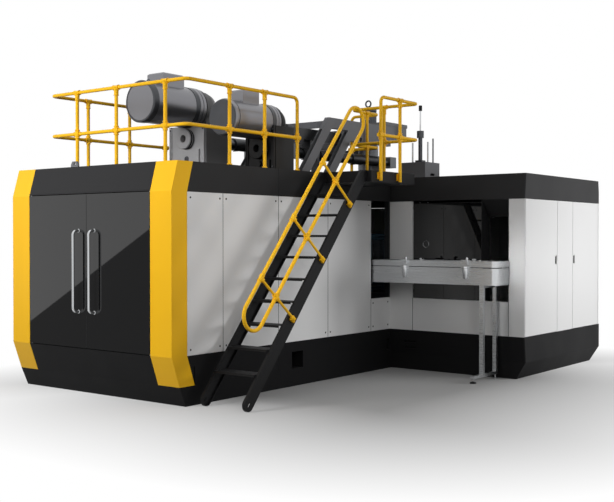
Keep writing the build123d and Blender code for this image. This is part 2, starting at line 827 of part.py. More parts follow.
def stringer(x0, x1, open_side):
    """Sloping channel with a round foot on the floor, cut level and plumb at the landing."""
    run = stringer_depth / slope_z
    top_y, top_z = landing_start, landing_top_z
    lead = stringer_foot_y
    rise = stair_rise / stair_going
    foot_z = stringer_depth / 2
    foot_y = from_front(lead + foot_z * (1 + slope_y) / slope_z)

    def bar(inset, a, b):
        """Whole section, or its hollow where inset by the sheet."""
        shift = inset / slope_z
        low, high = lead + shift, lead + run - shift
        r = foot_z - inset
        edge = [(foot_y + slope_z * r, foot_z - slope_y * r), (from_front(top_y), (top_y - high) * rise),
                (from_front(top_y), top_z), (from_front(low + top_z / rise), top_z),
                (foot_y - slope_z * r, foot_z + slope_y * r)]
        sketch = Polygon(*edge, align=None) + Pos(foot_y, foot_z) * Circle(r)
        return extrude(Plane.YZ.offset(a) * sketch, b - a, dir=(1, 0, 0))
    hollow_0 = x0 - 1 if open_side < 0 else x0 + stringer_web
    hollow_1 = x1 - stringer_web if open_side < 0 else x1 + 1
    slot_plane = Plane(origin=(x0 - 1, foot_y, foot_z), x_dir=(0, slope_y, slope_z), z_dir=(1, 0, 0))
    slot = extrude(slot_plane * SlotOverall(stringer_slot_length, stringer_slot_width), x1 - x0 + 2)
    return bar(0, x0, x1) - bar(stringer_web, hollow_0, hollow_1) - slot


def stair():
    near_1 = from_side(stair_near_x)
    near_0 = near_1 - stringer_flange
    far_0 = near_1 - stair_width
    far_1 = far_0 + stringer_flange
    node("stair_stringers", stringer(near_0, near_1, -1), stringer(far_0, far_1, 1))
    treads = []
    for i in range(tread_count):
        y = from_front(tread_nose_y + i * stair_going)
        z = first_tread_z + i * stair_rise
        section = [(y, z), (y + tread_depth, z), (y + tread_depth, z - tread_lip),
                   (y + tread_depth - tread_sheet, z - tread_lip), (y + tread_depth - tread_sheet, z - tread_sheet),
                   (y + tread_sheet, z - tread_sheet), (y + tread_sheet, z - tread_lip), (y, z - tread_lip)]
        treads.append(side_prism(section, far_1, near_0))
    node("stair_treads", treads)


def handrail():
    """Racetrack loop of bent tube beside the near stringer, on three struts."""
    x = from_side(stair_near_x) + loop_stand_off
    along = Vector(0, slope_y, slope_z)
    up = Vector(0, -slope_z, slope_y)
    low = Vector(x, from_front(loop_start_y), loop_start_z)
    high = low + along * loop_length
    tubes = [rod(tuple(low + up * s), tuple(high + up * s), loop_tube_radius) for s in (loop_radius, -loop_radius)]
    ends = []
    for centre, way in ((low, -1), (high, 1)):
        arc = ThreePointArc(centre + up * loop_radius, centre + along * (way * loop_radius),
                            centre - up * loop_radius)
        mouth = Plane(origin=centre + up * loop_radius, z_dir=along * way)
        ends.append(sweep(mouth * Circle(loop_tube_radius), path=arc))
    node("handrail", tubes, ends)
    pads, braces = [], []
    for i in range(3):
        start = low + along * (strut_first + i * strut_pitch) + up * loop_radius
        foot = start - up * strut_reach
        brace = rod(tuple(start), tuple(foot), strut_radius)
        for tube in tubes:
            brace -= tube
        braces += sorted(brace.solids(), key=lambda solid: solid.volume)[-2:]
        pad_plane = Plane(origin=(from_side(stair_near_x), foot.Y, foot.Z), x_dir=along, z_dir=(1, 0, 0))
        pad = extrude(pad_plane * Rectangle(strut_pad, strut_pad), loop_stand_off)
        pads.append(pad - brace)
    node("handrail", braces, pads)


def landing():
    z0, z1 = landing_top_z - landing_depth, landing_top_z
    plate = block(side_x + clearance, from_side(landing_width), from_front(landing_start),
                  from_front(landing_end), z0, z1)
    node("landing", plate)


# Guard rails
def run_of_rail(points, z, tube):
    """Level rail through plan points, with a quarter bend at each inner corner."""
    pieces = []
    for i, (a, b) in enumerate(zip(points, points[1:])):
        start, end = Vector(*a, z), Vector(*b, z)
        way = (end - start).normalized()
        if i > 0:
            start = start + way * bend_radius
        if i < len(points) - 2:
            end = end - way * bend_radius
        pieces.append(rod(tuple(start), tuple(end), tube))
    for before, corner, after in zip(points, points[1:], points[2:]):
        c = Vector(*corner, z)
        pieces.append(bend(tuple(c), tuple((Vector(*before, z) - c).normalized()),
                           tuple((Vector(*after, z) - c).normalized()), bend_radius, tube))
    return pieces


def rail_post(x, y, foot_z, with_foot, head_z):
    """Upright tube, on a round foot where it stands on a deck."""
    start = foot_z + foot_thickness if with_foot else foot_z
    foot = [rod((x, y, foot_z), (x, y, start), foot_radius)] if with_foot else []
    return rod((x, y, start), (x, y, head_z), tube_radius), foot


def guard(points, posts_at, knee_z, foot_zs):
    """One run of guard rail: top rail bent down into both end posts, knee rail, posts, feet."""
    first, last = Vector(*points[0], 0), Vector(*points[-1], 0)
    way_0 = (Vector(*points[1], 0) - first).normalized()
    way_1 = (last - Vector(*points[-2], 0)).normalized()
    ends = (first + way_0 * bend_radius, last - way_1 * bend_radius)
    top_points = [(ends[0].X, ends[0].Y)] + list(points[1:-1]) + [(ends[1].X, ends[1].Y)]
    drops = [bend((first.X, first.Y, top_rail_z), tuple(way_0), (0, 0, -1), bend_radius, tube_radius),
             bend((last.X, last.Y, top_rail_z), tuple(-way_1), (0, 0, -1), bend_radius, tube_radius)]
    top = run_of_rail(top_points, top_rail_z, tube_radius)
    uprights, feet = [], []
    for (x, y), foot_z in zip(posts_at, foot_zs):
        bent = (x, y) in (points[0], points[-1])
        upright, foot = rail_post(x, y, abs(foot_z), foot_z > 0, top_rail_z - (bend_radius if bent else 0))
        for piece in [] if bent else top:
            upright -= piece
        uprights.append(max(upright.solids(), key=lambda solid: solid.volume))
        feet += foot
    knee = []
    for piece in run_of_rail(points, knee_z, tube_radius):
        for x, y in posts_at:
            piece -= rod((x, y, knee_z - 2 * tube_radius), (x, y, knee_z + 2 * tube_radius), tube_radius)
        knee += [solid for solid in piece.solids() if solid.volume > 40 * tube_radius ** 2]
    node("guard_rails", top, drops, knee)
    node("guard_posts", uprights, feet)


def guards():
    near, left, front = from_side(-rail_side_inset), far_x + rail_left_inset, from_front(rail_front)
    points = [(left, from_front(rail_left_posts[-1])), (left, front), (near, front),
              (near, from_front(rail_side_posts[-1]))]
    posts_at = [(left, from_front(y)) for y in reversed(rail_left_posts)]
    posts_at += [(from_side(-x), front) for x in reversed(rail_front_posts)]
    posts_at += [(near, from_front(y)) for y in rail_side_posts]
    guard(points, posts_at, knee_rail_z, [roof_z] * len(posts_at))
    off_edge = clamp_thickness + tube_radius
    out, turn = from_side(landing_width + off_edge), from_front(landing_end + off_edge)
    walk, walk_turn = from_side(walk_rail_x), from_front(walk_rail_turn_y)
    points = [(out, from_front(landing_rail_posts[0])), (out, turn), (walk, turn), (walk, walk_turn),
              (from_side(walk_rail_end_x), walk_turn)]
    posts_at = [(out, from_front(y)) for y in landing_rail_posts]
    posts_at += [(from_side(landing_post_c), turn), (walk, from_front(walk_rail_post)), points[-1]]
    low = -(landing_top_z - landing_depth + 20)
    guard(points, posts_at, landing_knee_z, [low, low, low, roof_z, roof_z])
    clamp_z = (landing_top_z - 120, landing_top_z - 20)
    clamps = [block(out - off_edge, out - tube_radius, from_front(y) - 45, from_front(y) + 45, *clamp_z)
              for y in landing_rail_posts]
    clamps.append(block(from_side(landing_post_c) - 45, from_side(landing_post_c) + 45, turn - off_edge,
                        turn - tube_radius, *clamp_z))
    node("guard_posts", clamps)


# Extruder drives
def drive(name, d):
    """Motor over a gearbox: cap, body, ring and bell turned about the motor axis."""
    x, r, z = from_side(d["x"]), d["motor_radius"], d["motor_z"]
    y0, y1 = from_front(d["cap_y"]), from_front(d["body_end"])
    groove = r - 16
    cap_len = cap_depth
    length = y1 - y0
    body = turned([(0, 0), (r - 34, 0), (r - 12, 8), (r, 30), (r, cap_len), (groove, cap_len),
                   (groove, cap_len + cap_gap), (r - 4, cap_len + cap_gap), (r - 4, length), (0, length)],
                  (x, y0, z), (0, 1, 0))
    ring = motor_ring
    end = from_front(d["plate_y"] + d["box_depth"])
    bell_len = max(bell_length, end - y1 - ring)
    flange = turned([(0, 0), (r - 20, 0), (r - 20, ring * 0.4), (r - 4, ring * 0.4), (r - 4, ring), (r - 30, ring),
                     (r - 30, bell_len * 0.55), (r - 55, bell_len * 0.8), (r * 0.45, bell_len), (0, bell_len)],
                    (x, y1, z), (0, 1, 0))
    node("drive_motors", body)
    box_half = r * 0.55
    t0 = y0 + length * 0.28
    t1 = t0 + d["box_length"]
    terminal = block(x - box_half, x + box_half, t0, t1, z, z + r + terminal_height)
    terminal = chamfer(terminal.faces().sort_by(Axis.Z)[-1].edges(), 18)
    terminal -= body
    node("drive_motors", max(terminal.solids(), key=lambda s: s.center().Z))

    plate_y = from_front(d["plate_y"])
    bz = d["bore_z"]
    half = d["plate_half"]
    top = d["plate_top"]
    depth = d["box_depth"]
    case = block(x - half, x + half, plate_y + plate_thickness, plate_y + depth, roof_z, top)
    neck = block(x - half * 0.62, x + half * 0.62, y1 + ring, plate_y + depth, top, z)
    bore = rod((x, plate_y - hub_length - 5, bz), (x, plate_y + plate_thickness, bz), hub_bore_radius)
    bore += rod((x, plate_y + plate_thickness, bz), (x, plate_y + depth + 5, bz), drive_shaft_radius + running_fit)
    case = case + neck
    case = case - body - flange - bore
    case = max(case.solids(), key=lambda s: s.volume)
    face = block(x - half + 6, x + half - 6, plate_y, plate_y + plate_thickness, roof_z, top)
    step = block(x - half * 0.72, x + half * 0.72, plate_y - ledge_depth, plate_y,
                 roof_z + ledge_lift, bz - hub_radius - ledge_room)
    port = rod((x, plate_y - 2 * ledge_depth, roof_z + port_height),
               (x, plate_y - ledge_depth, roof_z + port_height), port_radius)
    edge_x = half - 6
    strips = [block(x - edge_x, x - edge_x + face_strip_width, plate_y - face_strip_depth, plate_y, roof_z, top),
              block(x + edge_x - face_strip_width, x + edge_x, plate_y - face_strip_depth, plate_y, roof_z, top)]
    slot_x = x - edge_x + face_strip_width / 2
    strips[0] -= block(slot_x - face_slot_width / 2, slot_x + face_slot_width / 2, plate_y - face_strip_depth - 1,
                       plate_y + 1, roof_z + face_slot_margin, top - face_slot_margin)
    hub = turned([(0, 0), (hub_radius - 8, 0), (hub_radius, 8), (hub_radius, hub_length), (0, hub_length)],
                 (x, plate_y - hub_length, bz), (0, 1, 0))
    front = face + hub + step + port + strips[0] + strips[1] - bore
    node("gearboxes", case, flange)
    node("gearbox_faces", front - body)

    barrel_start = plate_y + depth
    barrel_end = from_front(head_y) - melt_block / 2
    rb, rs = d["barrel_radius"], d["screw_radius"]
    inner = rs + running_fit
    barrel = turned([(inner, 0), (rb + 45, 0), (rb + 45, 30), (rb, 30), (rb, barrel_end - barrel_start),
                     (inner, barrel_end - barrel_start)], (x, barrel_start, bz), (0, 1, 0))
    node("barrels", barrel)
    length = barrel_end - barrel_start
    pitch = (length - first_heater - last_heater_room) / heater_bands
    bands = []
    for i in range(heater_bands):
        start = barrel_start + first_heater + i * pitch
        bands.append(turned([(rb, 0), (rb + heater_thickness, 0), (rb + heater_thickness, heater_length),
                             (rb, heater_length)], (x, start, bz), (0, 1, 0)))
    node("heater_bands", bands)
    screw = turned([(0, 0), (drive_shaft_radius, 0), (drive_shaft_radius, depth - 20), (rs, depth - 5),
                    (rs, depth + length - 80), (0, depth + length - 10)], (x, plate_y, bz), (0, 1, 0))
    node(name + "_screw", screw)
    throat_0 = barrel_start + throat_gap
    throat = block(x - rb - 50, x + rb + 50, throat_0, throat_0 + throat_length,
                   bz - rb - 40, bz + rb + throat_cap)
    throat -= rod((x, barrel_start, bz), (x, throat_0 + throat_length + 10, bz), rb)
    node("barrel_supports", throat)
    stands = []
    for gap in (1, heater_bands):
        y = barrel_start + first_heater + gap * pitch - (pitch - heater_length) / 2
        post = block(x - 60, x + 60, y - 25, y + 25, roof_z, bz)
        stands.append(post - rod((x, y - 50, bz), (x, y + 50, bz), rb))
    node("barrel_supports", stands)


# Die head and its support frame
def support_frame():
    """Two side frames of slanted legs under an upper beam, tied across, carrying the head plate."""
    hx = from_side(head_x)
    slope = math.tan(math.radians(leg_angle))
    top = beam_split_z

    def slanted(foot, z):
        """Point at height z on a slanted edge that starts at a foot on the roof."""
        return from_front(foot + (z - roof_z) / slope), z
    legs, beams = [], []
    for sign in (1, -1):
        outer = hx + sign * beam_outer
        inner = outer - sign * beam_width
        x0, x1 = min(outer, inner), max(outer, inner)
        for foot in (leg_foot_1, leg_foot_2):
            back = foot + leg_width
            leg = side_prism([slanted(foot, roof_z), slanted(back, roof_z), slanted(back, top), slanted(foot, top)],
                             x0, x1)
            low, high = roof_z + 30, top - 30
            w = leg_wall * 2
            pocket = [slanted(foot - 60, low), slanted(back - w, low),
                      slanted(back - w, high), slanted(foot - 60, high)]
            leg -= side_prism(pocket, x0 + leg_wall, x1 - leg_wall)
            legs.append(leg)
        end = from_front(head_y - near_beam_short if sign > 0 else head_y + beam_past_head)
        upper = side_prism([slanted(leg_foot_1, beam_top_z), slanted(leg_foot_1, top),
                            (end, top), (end, beam_top_z)], x0, x1)
        for y in beam_holes:
            upper -= rod((x0 - 1, from_front(y), beam_top_z - beam_hole_drop),
                         (x1 + 1, from_front(y), beam_top_z - beam_hole_drop), beam_hole_radius)
        beams.append(upper)
        back, low_end = leg_foot_2 + leg_width, from_front(head_y - low_beam_short)
        lower = side_prism([slanted(back, top), slanted(back, beam_low_z), (low_end, beam_low_z), (low_end, top)],
                           x0, x1)
        lower -= rod((x0 - 1, from_front(low_beam_hole), beam_low_z + low_beam_hole_rise),
                     (x1 + 1, from_front(low_beam_hole), beam_low_z + low_beam_hole_rise), low_beam_hole_radius)
        beams.append(lower)
    node("support_frame", legs)
    node("support_frame", beams)
    ties = [block(hx - beam_outer + beam_width, hx + beam_outer - beam_width, from_front(y),
                  from_front(y) + tie_width, top + tie_margin, beam_top_z - tie_margin) for y in tie_places]
    node("support_frame", ties)
    node("support_frame", block(hx - beam_outer, hx + beam_outer, from_front(head_y - low_beam_short),
                                from_front(head_y + beam_past_head), top - head_plate, top))


def die_head():
    hx, hy = from_side(head_x), from_front(head_y)
    top = beam_split_z - head_plate
    r = head_radius
    length = top - head_bottom_z
    body = turned([(die_bore_radius, 0), (90, 0), (90, 60), (r - 50, 90), (r - 50, die_neck_height),
                   (r, die_neck_height + die_shoulder), (r, length - 60),
                   (r - 20, length - 60), (r - 20, length), (die_bore_radius, length)],
                  (hx, hy, head_bottom_z), (0, 0, 1))
    node("die_head", body)
    ring_bore, ring_height = r + running_fit, ring_high_z - ring_low_z
    ring = turned([(ring_bore, 0), (ring_radius, 0), (ring_radius, ring_height), (ring_bore, ring_height)],
                  (hx, hy, ring_low_z), (0, 0, 1))
    servo_low = beam_split_z
    servo = turned([(0, 0), (servo_radius, 0), (servo_radius, 30), (servo_radius - 14, 40),
                    (servo_radius - 14, servo_top_z - servo_low - 50), (servo_radius, servo_top_z - servo_low - 40),
                    (servo_radius, servo_top_z - servo_low - 10), (servo_radius - 10, servo_top_z - servo_low),
                    (0, servo_top_z - servo_low)], (hx, hy, servo_low), (0, 0, 1))
    node("servo_cylinder", servo)
    stem = rod((hx, hy, servo_top_z), (hx, hy, servo_top_z + 40), 22)
    eye_centre = servo_top_z + 40 + eye_radius
    eye = Location((hx, hy, eye_centre), (90, 0, 0)) * Torus(eye_radius, eye_wire)
    node("servo_cylinder", eye + stem)
    rise = length + mandrel_drop
    mandrel = turned([(0, 0), (mandrel_radius + mandrel_lip, 0), (mandrel_radius, 40), (mandrel_radius, rise),
                      (0, rise)], (hx, hy, head_bottom_z - mandrel_drop), (0, 0, 1))
    node("die_head", mandrel)
    z = (ring_low_z + ring_high_z) / 2
    start = hy + ring_radius
    lever = rod((hx, start - 20, z), (hx, start + lever_length, z), lever_radius)
    ball = Pos(hx, start + lever_length + ball_radius - 6, z) * Sphere(ball_radius)
    node("adjusting_ring", ring + lever + ball)
    pipes = []
    blocks = []
    for d in (main_drive, co_drive):
        x, bz = from_side(d["x"]), d["bore_z"]
        inward = 1 if x < hx else -1
        half = melt_block / 2
        blocks.append(block(x - half, x + half, hy - half, hy + half, bz - half, bz + half))
        start_x = x + inward * half
        pipe = rod((start_x, hy, bz), (hx, hy, bz), melt_pipe_radius)
        pipe -= rod((hx, hy, head_bottom_z), (hx, hy, top), head_radius)
        pipes.append(max(pipe.solids(), key=lambda s: s.volume))
    node("die_head", blocks)
    node("die_head", pipes)


def head_box():
    """Box with a rounded lid that closes the near side frame beside the head."""
    hx = from_side(head_x)
    y0, y1 = from_front(head_y - near_beam_short), from_front(head_y + box_past_head)
    x0, x1 = hx + beam_outer - 2 * box_half_width, hx + beam_outer
    body = block(x0, x1, y0, y1, beam_split_z, box_high_z)
    body = fillet(body.edges().filter_by(Axis.Z).sort_by(Axis.Y)[-2:], box_corner)
    lid = block(x0 - 10, x1 + 10, y0, y1 + 20, box_high_z, box_high_z + lid_height)
    lid = fillet(lid.edges().filter_by(Axis.Z).sort_by(Axis.Y)[-2:], box_corner + 10)
    node("head_box", body, lid)


def cable_duct():
    """Duct along the second barrel, deeper at its front end, on two saddles."""
    x0, x1 = from_side(duct_x) - duct_width / 2, from_side(duct_x) + duct_width / 2
    start = from_front(duct_start)
    axis_x, bore_z, rb = from_side(co_drive["x"]), co_drive["bore_z"], co_drive["barrel_radius"]
    long_part = block(x0, x1, start, from_front(duct_end), duct_split_z, duct_high_z)
    drop = block(x0, x1, start, from_front(duct_drop_end), bore_z + rb + throat_cap, duct_split_z)
    node("cable_duct", long_part + drop)
    for y in (from_front(duct_start + saddle_from_start), from_front(duct_end - saddle_from_end)):
        saddle = block(x0, x1, y, y + saddle_thickness, bore_z, duct_split_z)
        saddle -= rod((axis_x, y - 20, bore_z), (axis_x, y + 40, bore_z), rb + heater_thickness)
        node("cable_duct", saddle)


# Blow station
def blow_station():
    x, y = from_side(blow_x), from_front(head_y)
    h, w = blow_box_half, blow_box_wall
    top = blow_box_top_z
    plate = block(x - h, x + h, y - h, y + h, top - w * 2, top)
    near = block(x - h, x + h, y - h, y - h + w, roof_z, top - w * 2)
    far = block(x - h, x + h, y + h - w, y + h, roof_z, top - w * 2)
    end = block(x + h - w, x + h, y - h + w, y + h - w, roof_z, top - w * 2)
    end -= block(x + h - w - 1, x + h + 1, y - blow_window_width / 2, y + blow_window_width / 2,
                 blow_window_z, blow_window_z + blow_window_height)
    rods_x = (x - guide_rod_offset, x + guide_rod_offset)
    for rx in rods_x:
        plate -= rod((rx, y, top - 60), (rx, y, top + 20), guide_rod_radius + running_fit)
    plate -= rod((x, y, top - 60), (x, y, top + 20), rod_radius + running_fit)
    node("blow_bracket", plate, near, far, end)
    flange_top = top + cylinder_flange
    flange = block(x - cylinder_flange_half, x + cylinder_flange_half, y - cylinder_flange_half,
                   y + cylinder_flange_half, top, flange_top)
    length = collar_top_z - flange_top
    tube = turned([(0, 0), (cylinder_radius, 0), (cylinder_radius, cylinder_top_z - flange_top),
                   (collar_radius, cylinder_top_z - flange_top), (collar_radius, length), (0, length)],
                  (x, y, flange_top), (0, 0, 1))
    bore = rod((x, y, top - 5), (x, y, collar_top_z + 5), rod_radius + running_fit)
    node("blow_cylinder", flange + tube - bore)
    piston = rod((x, y, crosshead_z + crosshead_thickness), (x, y, rod_cap_low_z), rod_radius)
    cap = rod((x, y, rod_cap_low_z), (x, y, rod_cap_top_z), rod_cap_radius)
    node("blow_slide", piston + cap)
    guides = [rod((rx, y, crosshead_z + crosshead_thickness), (rx, y, guide_rod_top_z), guide_rod_radius)
              for rx in rods_x]
    node("blow_slide", guides)
    reach = guide_rod_offset + crosshead_margin
    cross = block(x - reach, x + reach, y - crosshead_half_depth, y + crosshead_half_depth, crosshead_z,
                  crosshead_z + crosshead_thickness)
    node("blow_slide", cross)
    seat = blow_pin_length - blow_pin_seat
    pin = turned([(0, 0), (blow_pin_radius * 0.64, 0), (blow_pin_radius, blow_pin_tip),
                  (blow_pin_radius, seat - 10),
                  (blow_pin_seat_radius, seat), (blow_pin_seat_radius, blow_pin_length), (0, blow_pin_length)],
                 (x, y, crosshead_z - blow_pin_length), (0, 0, 1))
    node("blow_slide", pin)
    sx = x + sensor_rod_offset - 30
    node("blow_cylinder", rod((sx, y + 90, top), (sx, y + 90, sensor_rod_top_z), sensor_rod_radius))


# Clamp unit
def bottle_cavity(x, y, z):
    """Bottle outline turned about the parting line: base, wall, shoulder, neck."""
    r, h = bottle_radius, bottle_height
    top = mould_high_z - z + 1
    return turned([(0, 0), (r - 18, 0), (r, 18), (r, h - 60), (r * 0.72, h - 18), (neck_radius, h),
                   (neck_radius, top), (0, top)], (x, y, z), (0, 0, 1))


def clamp_unit():
    hx, hy = from_side(head_x), from_front(head_y)
    gauge = rail_gauge / 2
    x0, x1 = hx - carriage_half_x - 60, hx + carriage_half_x + carriage_travel + 60
    table = block(x0, x1, hy - carriage_half_y, hy + carriage_half_y, table_bottom_z, table_top_z)
    legs = [block(x, x + 120, y, y + 120, fold_low_z, table_bottom_z)
            for x in (x0 + 40, x1 - 160) for y in (hy - carriage_half_y, hy + carriage_half_y - 120)]
    node("clamp_table", table, legs)
    rails = [block(x0, x1, hy + s * gauge - rail_width / 2, hy + s * gauge + rail_width / 2, table_top_z,
                   table_top_z + rail_height) for s in (-1, 1)]
    node("clamp_table", rails)
    base_z = table_top_z + rail_height + clearance
    base = block(hx - carriage_half_x, hx + carriage_half_x, hy - carriage_half_y, hy + carriage_half_y, base_z,
                 base_z + carriage_height)
    runners = []
    for s in (-1, 1):
        for ox in (-1, 1):
            cx = hx + ox * (carriage_half_x - 90)
            for side in (-1, 1):
                edge = hy + s * gauge + side * (rail_width / 2 + clearance)
                a, b = sorted((edge, edge + side * 18))
                runners.append(block(cx - 60, cx + 60, a, b, table_top_z + 6, base_z))
    node("carriage", base, runners)
    high = platen_high_z
    ram_z = (platen_low_z + platen_high_z) / 2
    ends = []
    for s in (-1, 1):
        a, b = sorted((hy + s * carriage_half_y, hy + s * (carriage_half_y - end_plate_thickness)))
        end = block(hx - platen_half, hx + platen_half, a, b, base_z + carriage_height, high)
        ends.append(end - rod((hx, a - 5, ram_z), (hx, b + 5, ram_z), ram_radius + running_fit))
    bars = []
    for sx in (-1, 1):
        for z in (platen_low_z + tie_bar_inset, platen_high_z - tie_bar_inset):
            bx = hx + sx * (platen_half - tie_bar_inset)
            bars.append(rod((bx, hy - carriage_half_y + end_plate_thickness, z),
                            (bx, hy + carriage_half_y - end_plate_thickness, z), tie_bar_radius))
    node("carriage", ends)
    node("carriage", bars)
    for s, label in ((-1, "front"), (1, "rear")):
        inner = hy + s * (platen_open / 2 + mould_thickness)
        outer = inner + s * platen_thickness
        a, b = sorted((inner, outer))
        platen = block(hx - platen_half, hx + platen_half, a, b, platen_low_z, platen_high_z)
        for sx in (-1, 1):
            for z in (platen_low_z + tie_bar_inset, platen_high_z - tie_bar_inset):
                bx = hx + sx * (platen_half - tie_bar_inset)
                platen -= rod((bx, a - 5, z), (bx, b + 5, z), tie_bar_radius + running_fit)
        node("platen_" + label, platen)
        face = hy + s * platen_open / 2
        a, b = sorted((face, inner))
        mould = block(hx - mould_half_width, hx + mould_half_width, a, b, mould_low_z, mould_high_z)
        mould -= bottle_cavity(hx, face, mould_low_z + bottle_base)
        node("mould_" + label, mould)
        node("platen_" + label, rod((hx, outer, ram_z), (hx, outer + s * ram_length, ram_z), ram_radius))


# Conveyor
def conveyor():
    y0, y1 = from_front(conveyor_near_y), from_front(conveyor_far_y)
    x0, x1 = from_side(conveyor_start), from_side(conveyor_end)
    s = skirt_sheet

    def channel(z0, z1):
        """Side sheets and the end sheet with rounded corners."""
        sides = [block(x0, x1 - skirt_corner, y, y + s, z0, z1) for y in (y0, y1 - s)]
        outer = block(x1 - skirt_corner, x1, y0, y1, z0, z1)
        outer = fillet(outer.edges().filter_by(Axis.Z).sort_by(Axis.X)[-2:], skirt_corner - 1)
        inner = block(x1 - skirt_corner - 1, x1 - s, y0 + s, y1 - s, z0, z1)
        inner = fillet(inner.edges().filter_by(Axis.Z).sort_by(Axis.X)[-2:], skirt_corner - 1 - s)
        return sides + [outer - inner]
    node("conveyor_skirt", channel(skirt_low_z, skirt_high_z))
    node("conveyor_skirt", channel(guide_low_z, guide_high_z))
    r = roller_radius
    centre_z = belt_top_z - belt_thickness - r
    middle = (y0 + y1) / 2
    half = belt_width / 2
    ends = (x0 + r + 60, x1 - r - 90)
    outer = r + belt_thickness

    def stadium(radius):
        a, b = ends
        return block(a, b, middle - half, middle + half, centre_z - radius, centre_z + radius) \
            + rod((a, middle - half, centre_z), (a, middle + half, centre_z), radius) \
            + rod((b, middle - half, centre_z), (b, middle + half, centre_z), radius)
    node("conveyor_belt", stadium(outer) - stadium(r + clearance))
    for label, x in (("tail", ends[0]), ("drive", ends[1])):
        roller = rod((x, middle - half, centre_z), (x, middle + half, centre_z), r)
        shaft = rod((x, y0 + s + clearance, centre_z), (x, y1 - s - clearance, centre_z), shaft_radius)
        node(label + "_roller", roller + shaft)
    bearings = []
    for x in ends:
        for a, b in ((y0 + s, y0 + s + 26), (y1 - s - 26, y1 - s)):
            house = block(x - 34, x + 34, a, b, centre_z - 34, centre_z + 34)
            bearings.append(house - rod((x, a - 5, centre_z), (x, b + 5, centre_z), shaft_radius + running_fit))
    node("conveyor_frame", bearings)
    slider = block(ends[0] + 80, ends[1] - 80, y0 + s, y1 - s, centre_z - 20, centre_z + r)
    node("conveyor_frame", slider)
    lx = from_side(leg_x)
    h = leg_size / 2
    bar_top = leg_low_z + foot_bar_height
    legs = [block(lx - h, lx + h, y0, y0 + leg_size, bar_top, skirt_low_z),
            block(lx - h, lx + h, y1 - leg_size, y1, leg_low_z, skirt_low_z)]
    bars = [block(lx - h, lx + h, y0 - foot_bar_reach, y1 - leg_size, leg_low_z, bar_top),
            block(lx - h + 10, lx + h - 10, y0 + leg_size, y1 - leg_size,
                  skirt_low_z - foot_bar_height, skirt_low_z)]
    ix = from_side(inner_leg_x)
    legs += [block(ix - h, ix + h, y, y + leg_size, fold_low_z, skirt_low_z) for y in (y0, y1 - leg_size)]
    node("conveyor_frame", legs, bars)
    feet = []
    for y in (y0 - near_foot_out, y1 - h):
        pad = turned([(0, 0), (pad_radius, 0), (pad_radius, pad_thickness * 0.5), (pad_radius * 0.4, pad_thickness),
                      (levelling_radius, pad_thickness), (levelling_radius, leg_low_z), (0, leg_low_z)],
                     (lx, y, 0), (0, 0, 1))
        feet.append(pad)
    node("conveyor_frame", feet)
    brackets = []
    for place in bracket_places:
        x = from_side(place)
        w = bracket_width / 2
        outline = [(x - w, bracket_high_z + 70), (x + w, bracket_high_z + 70), (x + w, bracket_high_z - 60),
                   (x + w * 0.55, bracket_low_z), (x - w * 0.55, bracket_low_z), (x - w, bracket_high_z - 60)]
        plate = front_prism(outline, y0 - 8, y0)
        cap = block(x - w * 0.6, x + w * 0.6, y0 - 34, y0 - 8, bracket_high_z, bracket_high_z + 50)
        brackets.append(plate + cap)
    node("conveyor_frame", brackets)
    for i, place in enumerate(knob_places, 1):
        x = from_side(place)
        ky = y0 + s / 2
        seat = guide_high_z
        knob = rod((x, ky + 14, seat + 18), (x, ky + 14, seat + 44), knob_radius)
        stem = rod((x, ky + 14, seat - 30), (x, ky + 14, seat + 18), knob_stem_radius)
        boss = block(x - 16, x + 16, y0 + s, ky + 32, seat - 40, seat + 17.7)
        boss -= rod((x, ky + 14, seat - 60), (x, ky + 14, seat + 30), knob_stem_radius + running_fit)
        node("guide_knob_%d" % i, knob + stem)
        node("conveyor_frame", boss)


def lifting_eyes():
    """Plates with a round hole, one at the front edge of the roof and one at the rear edge."""
    x = -lifting_eye_offset
    half, t = eye_plate_width / 2, eye_plate_thickness
    for y in (from_front(top_lean + panel + 15), back_y - panel - 2 * t):
        plate = front_prism([(x - half, roof_z), (x + half, roof_z), (x + half, roof_z + eye_plate_height * 0.4),
                             (x + half * 0.6, roof_z + eye_plate_height), (x - half * 0.6, roof_z + eye_plate_height),
                             (x - half, roof_z + eye_plate_height * 0.4)], y, y + t)
        z = roof_z + eye_plate_height * 0.54
        node("lifting_eyes", plate - rod((x, y - 10, z), (x, y + t + 10, z), eye_plate_hole))


main_base()
wing_base()
posts()
skins()
frame()
front_doors()
door_edges, wing_edges = wing_skin()
outlet_mouth(wing_edges[1], wing_edges[2])
safety_window(wing_edges[0], wing_edges[1])
wing_doors(*door_edges)
stair()
handrail()
landing()
guards()
drive("main_extruder", main_drive)
drive("co_extruder", co_drive)
support_frame()
die_head()
head_box()
cable_duct()
blow_station()
clamp_unit()
conveyor()
lifting_eyes()

for name, solids in nodes.items():
    shape = solids[0] if len(solids) == 1 else Compound(children=solids)
    export_step(shape, os.path.join("parts", name + ".step"))
print(len(nodes), "nodes")
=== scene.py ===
# %% [markdown]
# A blow moulding machine: a long enclosed cabinet with two tinted doors and yellow folded
# corner posts, a side wing where bottles are blown, two extruder drives on the roof, a
# stair with a loop handrail, guard rails and a stainless outlet conveyor.
# The CAD model comes in as a fixed frame. This file gives it its finishes, adds the small
# hardware that is too fine for the CAD model, and sets up the light and the camera.
# Lengths are metres. The doors face -Y, the long side with the stair faces +X, Z is up.

